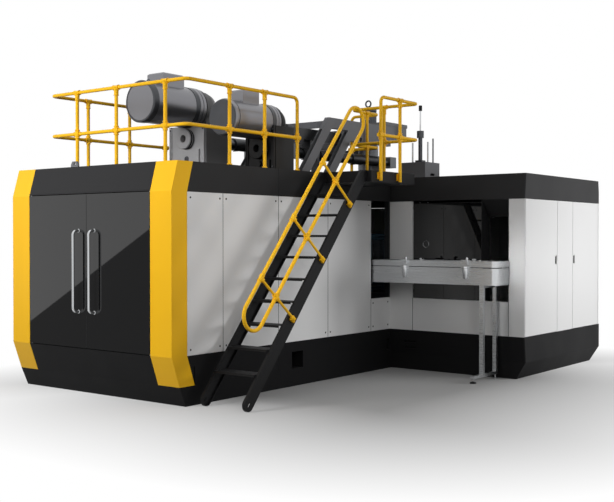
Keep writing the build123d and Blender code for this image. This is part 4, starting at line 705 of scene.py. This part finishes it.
fittings = []
for x, y, rail, knee_z, has_top_sleeve in POSTS:
    outward = AXES["y" if rail == "x" else "x"]
    knee, top = np.array((x, y, knee_z)), np.array((x, y, TOP_RAIL_Z))
    fittings += [sleeve(knee, AXES[rail]), sleeve(knee, UP, UPRIGHT_HALF),
                 set_screw(knee - (0, 0, SCREW_BELOW), outward)]
    if has_top_sleeve:
        fittings += [sleeve(top, AXES[rail]), flared_sleeve(top),
                     set_screw(top - (0, 0, TOP_SCREW_BELOW), outward)]
make("rail_fittings", fittings, "yellow_paint", "machine")

# %% [markdown]
# The loop handrail is held the same way: its three struts cross both tubes in a fitting
# and end at a bracket on the stringer, which two small hexagon screws hold. Places are
# counted along the stair's slope and square to it, from the loop's lower end, so that the
# sleeve of the guard rails serves again, with other axes, instead of turned copies.

# %% Handrail fittings
STAIR_RISE, STAIR_GOING = 0.284, 0.240
LOOP_LOW = np.array((2.474, -3.405, 1.165))
LOOP_RADIUS = 0.188
STRUT_RADIUS = 0.017
STRUTS_AT = (0.42, 1.392, 2.364)
STRUT_LENGTH = 0.838
TUBE_SLEEVE_HALF = 0.045
STRUT_SLEEVE_HALF = 0.044
STRUT_SLEEVE_BORE = STRUT_RADIUS + 0.004
STRUT_END_INSET = 0.016
BRACKET_SCREWS_AT = (-0.023, 0.023)
SCREWS_BELOW_FOOT = 0.02
BRACKET_PROFILE = [(-0.004, STRUT_RADIUS - LIP), (-0.004, 0.027), (0.045, 0.026),
                   (0.055, 0.021), (0.055, STRUT_RADIUS - LIP)]
BRACKET_SCREW_PROFILE = [(0.0, 0.009), (0.006, 0.009), (0.007, 0.006), (0.012, 0.006)]

step_length = math.hypot(STAIR_RISE, STAIR_GOING)
along = np.array((0, STAIR_GOING, STAIR_RISE)) / step_length
upward = np.array((0, -STAIR_RISE, STAIR_GOING)) / step_length
handrail_fittings = []
for reach in STRUTS_AT:
    centre = LOOP_LOW + along * reach
    for side, inset in ((LOOP_RADIUS, STRUT_END_INSET), (-LOOP_RADIUS, 0.0)):
        middle = centre + upward * side
        handrail_fittings += [
            sleeve(middle, along, TUBE_SLEEVE_HALF),
            sleeve(middle - upward * inset, upward, STRUT_SLEEVE_HALF - inset, STRUT_SLEEVE_BORE)]
    foot = centre - upward * (STRUT_LENGTH - LOOP_RADIUS)
    handrail_fittings.append(turned(BRACKET_PROFILE, foot, upward))
    for step in BRACKET_SCREWS_AT:
        screw_at = foot + along * step - upward * SCREWS_BELOW_FOOT
        handrail_fittings.append(turned(BRACKET_SCREW_PROFILE, screw_at, AXES["x"], sides=6))
make("handrail_fittings", handrail_fittings, "yellow_paint", "machine")

# %% [markdown]
# Quarter-turn locks hold the white panels: a black nylon disc near each of a panel's
# corners, a shallow dome on a flat rim. It could be a bevelled cylinder. The turned dome
# needs no modifier, and its places are worked out from the seams, so they follow them.

# %% Panel locks
OUT_FRONT, OUT_BACK, OUT_RIGHT, OUT_LEFT = (0, -1, 0), (0, 1, 0), (1, 0, 0), (-1, 0, 0)
SIDE_X = 1.58
FRONT_Y, BACK_Y = -3.905, 3.905
WING_Y = 0.985
PANEL_LOW, PANEL_HIGH, SHORT_PANEL_HIGH = 0.63, 2.67, 1.137
LOCK_RADIUS = 0.013
LOCK_RIM = 0.002
LOCK_DOME = 0.004
LOCK_INSET, LOCK_DROP = 0.06, 0.07
SEAMS_FROM_FRONT = [0.269, 0.927, 2.059, 3.211, 4.346]
FAR_SEAM_Y = 2.173
REAR_SEAM_ENDS_X, REAR_SEAMS = (-1.555, 3.895), 7


def lock(place, outward):
    """Domed disc, turned: over a flat rim r = R (0.25 + 0.6 cos b) while t rises as sin b."""
    b = np.linspace(0, np.pi / 2, 5)
    dome = np.stack([LOCK_RIM + LOCK_DOME * np.sin(b), LOCK_RADIUS * (0.25 + 0.6 * np.cos(b))],
                    axis=-1)
    profile = [(-0.001, LOCK_RADIUS), (LOCK_RIM, LOCK_RADIUS), *dome]
    return turned(profile, place, outward, sides=14)


def lock_pairs(starts, ends, low, high):
    """Places near the corners of panels that run between starts and ends."""
    return [(across_panel, z) for start, end in zip(starts, ends)
            for across_panel in (start + LOCK_INSET, end - LOCK_INSET)
            for z in (low + LOCK_DROP, high - LOCK_DROP)]


seams = np.array(SEAMS_FROM_FRONT) + FRONT_Y
far_seams = np.append(seams, [FAR_SEAM_Y, BACK_Y])
rear_seams = np.linspace(*REAR_SEAM_ENDS_X, REAR_SEAMS)
side_places = (lock_pairs(seams[:-1], seams[1:], PANEL_LOW, PANEL_HIGH)
               + lock_pairs(seams[-1:], [WING_Y], PANEL_LOW, SHORT_PANEL_HIGH))
far_places = lock_pairs(far_seams[:-1], far_seams[1:], PANEL_LOW, PANEL_HIGH)
rear_places = lock_pairs(rear_seams[:-1], rear_seams[1:], PANEL_LOW, PANEL_HIGH)
locks = [lock((SIDE_X, y, z), OUT_RIGHT) for y, z in side_places]
locks += [lock((-SIDE_X, y, z), OUT_LEFT) for y, z in far_places]
locks += [lock((x, BACK_Y, z), OUT_BACK) for x, z in rear_places]
make("panel_locks", locks, "latch_plastic", "machine")

# %% [markdown]
# Between the panels there is a black rubber gasket. It is a low bead with a round back: a
# half ellipse carried straight along each seam. It stands 1 mm proud, so the seam reads as
# the thin dark line that it is on the machine. A painted line would do from the front, but
# it would have no height in a side view.

# %% Panel gaskets
BEAD_HALF = 0.0045
BEAD_RISE = 0.0012
BEAD_SUNK = 0.001
WING_SEAM_X, WING_CORNER_X, WING_SHORT_HIGH = 2.01, 3.665, 1.14


def bead(start, end, outward):
    """Half-ellipse bead: half * cos b * side + rise * sin b * outward, from start to end."""
    start, end, outward = (np.asarray(v, dtype=float) for v in (start, end, outward))
    way = (end - start) / np.linalg.norm(end - start)
    side = np.cross(outward, way)
    b = np.linspace(0, np.pi, 7)[:, None]
    back = BEAD_HALF * np.cos(b) * side + BEAD_RISE * np.sin(b) * outward
    base = [way_out * BEAD_HALF * side[None] - BEAD_SUNK * outward for way_out in (-1, 1)]
    outline = np.concatenate([back, *base])
    return skin(np.stack([start + outline, end + outline]))


def upright_bead(x, y, high, outward):
    """Bead along an upright seam, from the panels' lower edge to a height."""
    return bead((x, y, PANEL_LOW), (x, y, high), outward)


beads = [upright_bead(SIDE_X, y, PANEL_HIGH, OUT_RIGHT) for y in seams[1:-1]]
beads += [upright_bead(SIDE_X, seams[-1], SHORT_PANEL_HIGH, OUT_RIGHT)]
beads += [upright_bead(-SIDE_X, y, PANEL_HIGH, OUT_LEFT) for y in far_seams[1:-1]]
beads += [upright_bead(x, BACK_Y, PANEL_HIGH, OUT_BACK) for x in rear_seams[1:-1]]
beads += [upright_bead(WING_SEAM_X, WING_Y, WING_SHORT_HIGH, OUT_FRONT),
          upright_bead(WING_CORNER_X, WING_Y, PANEL_HIGH, OUT_FRONT)]
make("panel_gaskets", beads, "latch_plastic", "machine")

# %% [markdown]
# The two extruder drives differ in size only. The hardware on them could be placed twice by
# hand. Instead each drive is a set of its sizes, and the same lines dress both: its place
# in X, the heights of the screw's bore and of the motor's axis, the motor's radius and its
# two ends, the gearbox's front plate, and the barrel.

# %% Sizes of the two drives
MAIN_DRIVE = {"x": -0.167, "bore_z": 3.560, "motor_z": 4.022, "radius": 0.297,
              "cap_y": -2.795, "flange_y": -1.745, "plate_y": -1.855, "plate_half": 0.363,
              "plate_top": 3.752, "barrel_radius": 0.098, "barrel_start": -1.355}
SECOND_DRIVE = {"x": 1.100, "bore_z": 3.363, "motor_z": 3.742, "radius": 0.255,
                "cap_y": -2.463, "flange_y": -1.504, "plate_y": -1.669, "plate_half": 0.267,
                "plate_top": 3.680, "barrel_radius": 0.084, "barrel_start": -1.237}
print("motor diameters", [round(2 * drive["radius"], 3) for drive in (MAIN_DRIVE, SECOND_DRIVE)])

# %% [markdown]
# Hexagon screws and their washers: on the gearboxes' front plates, behind the motor
# flanges, on the feet of the posts and on the landing's clamps. A screw could have its
# thread, but that is hidden in the casting. So it is a turned washer with a turned
# six-sided head, light enough to be repeated a hundred times.

# %% Screws
ROOF_Z = 3.05
PLATE_INSET, PLATE_SCREW_FROM_END, PLATE_PROUD = 0.028, 0.05, 0.018
FLANGE_SCREWS, FLANGE_INSET, FLANGE_BACK = 12, 0.015, 0.060
FOOT_RING, FOOT_HEIGHT = 0.029, 0.012
PLATE_SCREW, FLANGE_SCREW, FOOT_SCREW, CLAMP_SCREW = 0.018, 0.016, 0.007, 0.009
CLAMP_X, CLAMPS_Y, CLAMPS_Z, CLAMP_HALF_PITCH = 2.535, (-0.769, -0.267), (2.95, 2.99), 0.03


def hex_screw(place, outward, size):
    """Washer and hexagon head of a size: two turned profiles, the head chamfered, six sides."""
    washer = [(-0.001, size * 0.75), (0.0, size * 0.8), (0.003, size * 0.8), (0.003, size * 0.6)]
    head = [(0.002, size * 0.58), (size * 0.55, size * 0.58), (size * 0.66, size * 0.46)]
    return [turned(washer, place, outward, sides=14),
            turned(head, place, outward, sides=6)]


plate_screws, flange_screws = [], []
for drive in (MAIN_DRIVE, SECOND_DRIVE):
    reach, ring = drive["plate_half"] - PLATE_INSET, drive["radius"] - FLANGE_INSET
    for side in (-1, 1):
        for z in (ROOF_Z + PLATE_SCREW_FROM_END, drive["plate_top"] - PLATE_SCREW_FROM_END):
            corner = (drive["x"] + side * reach, drive["plate_y"] - PLATE_PROUD, z)
            plate_screws += hex_screw(corner, OUT_FRONT, PLATE_SCREW)
    for turn in round_steps(FLANGE_SCREWS) + math.pi / FLANGE_SCREWS:
        flange_screws += hex_screw((drive["x"] + ring * math.cos(turn),
                                    drive["flange_y"] + FLANGE_BACK,
                                    drive["motor_z"] + ring * math.sin(turn)),
                                   OUT_BACK, FLANGE_SCREW)
make("gearbox_screws", plate_screws, "cylinder_paint", "machine")
make("flange_screws", flange_screws, "tool_steel", "machine")

foot_screws = []
for x, y in [(x, y) for x, y, *_ in POSTS if x < SIDE_X]:
    for turn in round_steps(4) + math.pi / 4:
        foot_screws += hex_screw((x + FOOT_RING * math.cos(turn), y + FOOT_RING * math.sin(turn),
                                  ROOF_Z + FOOT_HEIGHT), UP, FOOT_SCREW)
for y in CLAMPS_Y:
    for z in CLAMPS_Z:
        for offset in (-CLAMP_HALF_PITCH, CLAMP_HALF_PITCH):
            foot_screws += hex_screw((CLAMP_X, y + offset, z), OUT_RIGHT, CLAMP_SCREW)
make("foot_screws", foot_screws, "yellow_paint", "machine")

# %% [markdown]
# A band of sheet round a drum has a closed cross-section. Where a profile is itself a
# closed loop, the surface joins up both ways and needs no ends. A Solidify modifier on a
# strip would give the thickness too, but not the small chamfers that catch the light.

# %% Bands that close on themselves


def band(loop, origin, way, sides=48):
    """Ring with a closed cross-section of (t, r) pairs, joined both ways."""
    points = carried_round(loop, origin, way, sides)
    index = np.arange(points.shape[0] * sides).reshape(-1, sides)
    after, onward = np.roll(index, -1, axis=1), np.roll(index, -1, axis=0)
    quads = np.stack([index, after, np.roll(onward, -1, axis=1), onward], axis=-1)
    return points.reshape(-1, 3), quads.reshape(-1, 4)


def cuff(origin, way, inner, outer, start, end, edge=0.004):
    """Band of sheet round a drum, from start to end, with its two outer edges chamfered."""
    loop = [(start, inner), (start, outer - edge), (start + edge, outer),
            (end - edge, outer), (end, outer - edge), (end, inner)]
    return band(loop, origin, way, sides=64)


print("a cuff has", len(cuff((0, 0, 0), UP, 0.9, 1.0, 0, 0.1)[0]), "points")

# %% [markdown]
# Each motor is a drum of rolled sheet: a fan cowl, the body and two flange rings before the
# gearbox, with dark bands between them where the joints are. The second motor's bands are scaled
# with its radius, because the two motors are one model in two sizes. The main motor also has a dark
# rim round its cowl, which paints the shade in the gap between cowl and body. It also has a lifting
# arc: a bent wire, which could be a curve with a bevel, and is a circle carried along an arc here,
# so that its ends are closed.

# %% Motor bands and lifting arc
SHEET = 0.006
# Each band: its start and end, measured from the flange, and how far it stands out.
DARK_BANDS = ((-0.205, -0.125, 0.004), (-0.066, -0.056, 0.003))
# Each ring: its start and end, measured from the flange.
FLANGE_RINGS = ((-0.123, -0.068), (-0.054, -0.002))
COWL_INSIDE, COWL_PROUD, COWL_START, COWL_END, COWL_EDGE = 0.030, 0.003, -0.003, 0.105, 0.012
ARC_RADIUS, ARC_WIRE, ARC_BEHIND_CAP, ARC_SUNK = 0.040, 0.008, 0.16, 0.010
ARC_DEGREES = (-8, 188)


def arc_rod(centre, start, end, radius, wire, from_degrees, to_degrees, steps=20, sides=10):
    """Round wire bent to an arc: circles carried along centre + R (cos b * start + sin b * end)."""
    start, end = np.asarray(start, dtype=float), np.asarray(end, dtype=float)
    normal = np.cross(start, end)
    bend = np.radians(np.linspace(from_degrees, to_degrees, steps))
    outward = np.cos(bend)[:, None] * start + np.sin(bend)[:, None] * end
    turn = round_steps(sides)[None, :, None]
    ring = outward[:, None] * np.cos(turn) - normal * np.sin(turn)
    return skin(np.asarray(centre, dtype=float) + outward[:, None] * radius + ring * wire)


crown = (MAIN_DRIVE["x"], MAIN_DRIVE["cap_y"] + ARC_BEHIND_CAP,
         MAIN_DRIVE["motor_z"] + MAIN_DRIVE["radius"] - ARC_SUNK)
lifting_arc = arc_rod(crown, AXES["x"], AXES["z"], ARC_RADIUS, ARC_WIRE, *ARC_DEGREES)
make("motor_lifting_arc", [lifting_arc], "cylinder_paint", "machine")

dark_bands, flange_rings = [], []
for drive in (MAIN_DRIVE, SECOND_DRIVE):
    radius, scale = drive["radius"], drive["radius"] / MAIN_DRIVE["radius"]
    rear = (drive["x"], drive["flange_y"], drive["motor_z"])
    for start, end, proud in DARK_BANDS:
        dark_bands.append(cuff(rear, AXES["y"], radius - SHEET, radius + proud,
                               start * scale, end * scale))
    for start, end in FLANGE_RINGS:
        flange_rings.append(cuff(rear, AXES["y"], radius - SHEET, radius + SHEET,
                                 start * scale, end * scale))
radius = MAIN_DRIVE["radius"]
cap_centre = (MAIN_DRIVE["x"], MAIN_DRIVE["cap_y"], MAIN_DRIVE["motor_z"])
# The dark rim at the cowl's edge is painted shade in the gap between cowl and body.
dark_bands.append(cuff(cap_centre, AXES["y"], radius - COWL_INSIDE, radius + COWL_PROUD,
                       COWL_START, COWL_END, COWL_EDGE))
make("motor_bands", dark_bands, "cylinder_paint", "machine")
make("motor_flange_rings", flange_rings, "motor_paint", "machine")

# %% [markdown]
# The front of a gearbox has a bearing hub with two grooves round it. Their shade is painted as thin
# dark bands, because real grooves would have to be cut into the CAD model's hub. The main one also
# has two cast ledges across its plate, and a turned drain plug. A ledge could be a bevelled cube.
# It is a superellipsoid, a ball whose squares are replaced by a higher power, which has the same
# soft edges as a casting.

# %% Gearbox front
HUB_INNER, HUB_OUTER, HUB_EDGE = 0.140, 0.1505, 0.002
# Each band of painted groove shade: its start and end, measured from the front plate.
HUB_GROOVE_SHADES = ((-0.066, -0.040), (-0.024, -0.004))
PLATE_SKIN = 0.004
LEDGES_Z, LEDGE_OFFSET_X, LEDGE_HALF = (3.325, 3.388), -0.03, (0.27, 0.016, 0.014)
PLUG_Z, PLUG_OFFSET_X = 3.262, 0.02
PLUG_PROFILE = [(-0.004, 0.050), (0.018, 0.050), (0.020, 0.044), (0.034, 0.042),
                (0.038, 0.036), (0.038, 0.020), (0.030, 0.018)]


def round_block(centre, half, power=6.0, steps=9, sides=24):
    """Block with soft edges: |x|^n + |y|^n + |z|^n = 1, stretched to the half sizes."""
    latitude = np.linspace(-np.pi / 2, np.pi / 2, steps + 2)[1:-1, None]
    longitude = round_steps(sides)
    flat = np.stack([np.cos(latitude) * np.cos(longitude), np.cos(latitude) * np.sin(longitude),
                     np.sin(latitude) * np.ones(sides)], axis=-1)
    size = (np.abs(flat) ** power).sum(axis=-1, keepdims=True) ** (1 / power)
    return skin(np.asarray(centre, dtype=float) + flat / size * np.asarray(half))


# Dark bands that paint the shade inside the hub's grooves.
groove_shades = [cuff((drive["x"], drive["plate_y"], drive["bore_z"]), AXES["y"], HUB_INNER, HUB_OUTER,
                start, end, HUB_EDGE)
           for drive in (MAIN_DRIVE, SECOND_DRIVE) for start, end in HUB_GROOVE_SHADES]
make("hub_groove_shades", groove_shades, "latch_plastic", "machine")
plate_front = MAIN_DRIVE["plate_y"] - PLATE_SKIN
ledges = [round_block((MAIN_DRIVE["x"] + LEDGE_OFFSET_X, plate_front, z), LEDGE_HALF, power=8.0)
          for z in LEDGES_Z]
make("gearbox_ledges", ledges, "gearbox_paint", "machine")
plug_place = (MAIN_DRIVE["x"] + PLUG_OFFSET_X, plate_front, PLUG_Z)
plug = turned(PLUG_PROFILE, plug_place, OUT_FRONT, sides=24)
make("drain_plug", [plug], "cylinder_paint", "machine")

# %% [markdown]
# The second motor's cowl ends in a dished sheet cover, with a raised rim and a raised middle. The
# real one is pressed from a round blank, and turning its section gives the same shape. Its dark
# cylinder enamel paints the shade that falls on the motor's front.

# %% Fan cover
FAN_RADIUS = SECOND_DRIVE["radius"] - 0.014
FAN_PROFILE = [(-0.002, FAN_RADIUS - 0.006), (0.003, FAN_RADIUS), (0.007, FAN_RADIUS - 0.003),
               (0.009, FAN_RADIUS - 0.012), (0.006, FAN_RADIUS - 0.03), (0.006, 0.09),
               (0.010, 0.07), (0.011, 0.02)]
fan_centre = (SECOND_DRIVE["x"], SECOND_DRIVE["cap_y"], SECOND_DRIVE["motor_z"])
cover = turned(FAN_PROFILE, fan_centre, OUT_FRONT, sides=48)
# The dark enamel here is painted shade on the second motor's front.
make("fan_cover", [cover], "cylinder_paint", "machine")

# %% [markdown]
# The rod of the blow cylinder ends in a black plastic cap. It is turned with a soft top
# edge, and it rides up and down with the slide, as it would on the rod.

# %% Rod cap
CAP_PLACE = (1.72, 1.695, 4.197)
CAP_PROFILE = [(-0.004, 0.014), (-0.004, 0.0285), (0.078, 0.0285), (0.086, 0.024), (0.088, 0.010)]
cap = turned(CAP_PROFILE, CAP_PLACE, UP, sides=20)
make("rod_cap_cover", [cap], "latch_plastic", "blow_slide")

# %% [markdown]
# The round servo housing over the die head is an aluminium profile with upright cooling
# flutes. They could be 24 grooves cut with an array of cylinders. A cosine wave added to
# the radius gives all of them at once, and the skin stays closed.

# %% Servo flutes
SERVO_X, SERVO_Y = 0.68, 1.695
SERVO_LOW, SERVO_HIGH = 3.806, 4.249
SERVO_RADIUS, FLUTE_DEPTH, FLUTES = 0.1325, 0.010, 24
SERVO_EDGE = 0.004


def fluted_shell(x, y, low, high, radius, depth):
    """r(a) = radius + depth * (0.5 + 0.5 cos(24 a)), carried straight up between two heights."""
    angle = round_steps(FLUTES * 8)
    wave = radius + depth * (0.5 + 0.5 * np.cos(FLUTES * angle))
    heights = np.array([low, low + SERVO_EDGE, high - SERVO_EDGE, high])
    inset = np.array([SERVO_EDGE, 0.0, 0.0, SERVO_EDGE])
    r = wave[None, :] - inset[:, None]
    return skin(np.stack([x + r * np.cos(angle), y + r * np.sin(angle),
                          np.broadcast_to(heights[:, None], r.shape)], axis=-1))


shell = fluted_shell(SERVO_X, SERVO_Y, SERVO_LOW, SERVO_HIGH, SERVO_RADIUS, FLUTE_DEPTH)
make("servo_flutes", [shell], "cylinder_paint", "machine", SOFT_CREASE_DEGREES)

# %% [markdown]
# The bow handles are bolted through the doors: a turned rose with a soft cone under each
# end. A rubber bead seals the gap between the doors and rides on the left one. The round
# pull of the sliding window has a bright ring. It is a torus, a band whose section is a
# circle, and lies inside the recess, because a raised one would touch the column panel
# when the window opens.

# %% Door and window fittings
HANDLE_X = {"left": -0.157, "right": 0.157}
HANDLE_ENDS_Z = (1.117, 2.190)
ROSE_PROFILE = [(0.0, 0.024), (0.003, 0.0245), (0.005, 0.023), (0.007, 0.0175)]
SEAL_LOW, SEAL_HIGH = 0.645, 2.655
PULL_CENTRE, PULL_RADIUS, PULL_WIRE = (2.235, 1.0130, 1.993), 0.0523, 0.0024


def hoop(centre, way, radius, wire, sides=8):
    """Torus: a band whose cross-section is a circle, t = w cos b and r = R - w sin b."""
    b = round_steps(sides)
    return band(np.stack([wire * np.cos(b), radius - wire * np.sin(b)], axis=-1), centre, way)


for side, x in HANDLE_X.items():
    roses = [turned(ROSE_PROFILE, (x, FRONT_Y, z), OUT_FRONT, sides=24) for z in HANDLE_ENDS_Z]
    make("handle_roses_" + side, roses, "bright_steel", "front_door_" + side)
seal = bead((0.0, FRONT_Y, SEAL_LOW), (0.0, FRONT_Y, SEAL_HIGH), OUT_FRONT)
make("door_seal", [seal], "latch_plastic", "front_door_left")
pull_ring = hoop(PULL_CENTRE, OUT_FRONT, PULL_RADIUS, PULL_WIRE)
make("window_pull_rim", [pull_ring], "bright_steel", "safety_window", SOFT_CREASE_DEGREES)

# %% [markdown]
# The guide rails of the conveyor hang in tapered cups on the skirt, each with a small
# turned clamp beside it, and three-sided clips hold the rail between them. A clip could be
# a three-sided cylinder with bevels; a blend of a triangle and a circle rounds it in one
# formula. The end frame stands on a levelling foot, and its rubber pad and its lock nut
# are turned, the nut with six sides.

# %% Conveyor fittings
CONVEYOR_Y = 0.48
BRACKETS_X, BRACKET_Z = (2.18, 3.225), 1.490
CLAMP_OFFSET_X, CLAMP_Z = 0.03, 1.752
CUPS_Y, CLAMPS_FRONT_Y = CONVEYOR_Y - 0.010, CONVEYOR_Y - 0.012
CUP_PROFILE = [(0.0, 0.020), (0.004, 0.030), (0.010, 0.033), (0.155, 0.047), (0.160, 0.052),
               (0.178, 0.052), (0.182, 0.048)]
CLAMP_PROFILE = [(-0.002, 0.010), (0.020, 0.010), (0.022, 0.020), (0.046, 0.022), (0.052, 0.016)]
CLIPS_X, CLIP_Z = (2.475, 3.365), 1.768
CLIP_ENDS_Y = (CONVEYOR_Y + 0.012, CONVEYOR_Y - 0.004)
CLIP_FLAT, CLIP_SHARE, CLIP_ROUND, CLIP_STRETCH = 0.017, 0.72, 0.009, 1.25
FOOT_PLACE = (3.48, 0.236, 0.0)
PAD_PROFILE = [(0.0, 0.040), (0.004, 0.0465), (0.016, 0.0465), (0.022, 0.040), (0.026, 0.020),
               (0.034, 0.014)]
NUT_PROFILE = [(0.048, 0.010), (0.048, 0.021), (0.064, 0.021), (0.064, 0.010)]


def clip(x):
    """Three-sided clip: a rounded triangle carried across the rail.

    Its radius is 0.72 of a true triangle's, which is the distance of a flat side over the
    cosine of the angle from that side's middle, plus 9 mm that round the corners.
    """
    a = round_steps(36)
    folded = np.mod(a - np.pi / 2, 2 * np.pi / 3) - np.pi / 3
    r = CLIP_FLAT / np.cos(folded) * CLIP_SHARE + CLIP_ROUND
    outline = np.stack([x - r * np.cos(a) * CLIP_STRETCH, np.zeros_like(a), CLIP_Z - r * np.sin(a)],
                       axis=-1)
    return skin([outline + (0, y, 0) for y in CLIP_ENDS_Y])


cups = [turned(CUP_PROFILE, (x, CUPS_Y, BRACKET_Z), UP, sides=24) for x in BRACKETS_X]
cups += [turned(CLAMP_PROFILE, (x + CLAMP_OFFSET_X, CLAMPS_FRONT_Y, CLAMP_Z), UP, sides=12)
         for x in BRACKETS_X]
make("bracket_cups", cups, "bright_steel", "machine")
make("rail_clips", [clip(x) for x in CLIPS_X], "bright_steel", "machine")
pad = turned(PAD_PROFILE, FOOT_PLACE, UP, sides=24)
make("levelling_pad", [pad], "latch_plastic", "machine")
nut = turned(NUT_PROFILE, FOOT_PLACE, UP, sides=6)
make("lock_nut", [nut], "bright_steel", "machine")

# %% [markdown]
# Every heater band on a barrel closes with a clamp screw under it, and has a small
# terminal box on the side of the barrel that faces away from the stair. The boxes are
# ceramic with rounded edges, so the soft block of the ledges serves again.

# %% Heater terminals
HEATERS = 5
BARREL_END = 1.605
FIRST_HEATER, HEATER_MARGIN, HEATER_HALF = 0.5, 0.7, 0.15
TERMINAL_HALF, TERMINAL_FROM_BARREL = (0.020, 0.045, 0.028), 0.012
CLAMP_SCREW_BEFORE, CLAMP_SCREW_BELOW = 0.07, 0.004
CLAMP_SCREW_PROFILE = [(-0.05, 0.006), (0.05, 0.006)]

terminals = []
for drive in (MAIN_DRIVE, SECOND_DRIVE):
    x, z, radius, start = (drive[key] for key in ("x", "bore_z", "barrel_radius", "barrel_start"))
    pitch = (BARREL_END - start - HEATER_MARGIN) / HEATERS
    for i in range(HEATERS):
        middle_y = start + FIRST_HEATER + i * pitch + HEATER_HALF
        screw_at = (x, middle_y - CLAMP_SCREW_BEFORE, z - radius - CLAMP_SCREW_BELOW)
        terminals += [round_block((x - radius - TERMINAL_FROM_BARREL, middle_y, z), TERMINAL_HALF),
                      turned(CLAMP_SCREW_PROFILE, screw_at, AXES["x"], sides=8)]
make("heater_terminals", terminals, "tool_steel", "machine")

# %% [markdown]
# The camera stands about 11 m in front of the long side's near corner, at a little over
# head height, and looks almost level. Its place could be tried by eye. It was found from
# the machine's straight edges instead, because their directions fix the lens as well.

# %% Camera
PHOTO_WIDTH = 614
SENSOR_MM = 36.0
FOCAL_PIXELS = 984.04
CAMERA_PLACE = (10.196, -12.385, 2.108)
TILT_DOWN_DEGREES, HEADING_DEGREES = 0.822, 37.61
camera_data = bpy.data.cameras.new("camera")
camera_data.sensor_width = SENSOR_MM
camera_data.lens = FOCAL_PIXELS / PHOTO_WIDTH * SENSOR_MM
camera_data.clip_end = 500
camera = placed("camera", camera_data)
camera.location = CAMERA_PLACE
camera.rotation_euler = (math.radians(90 - TILT_DOWN_DEGREES), 0, math.radians(HEADING_DEGREES))
bpy.context.scene.camera = camera
bpy.context.scene.view_settings.view_transform = "Standard"
print("camera with a lens of", round(camera_data.lens, 1), "mm")
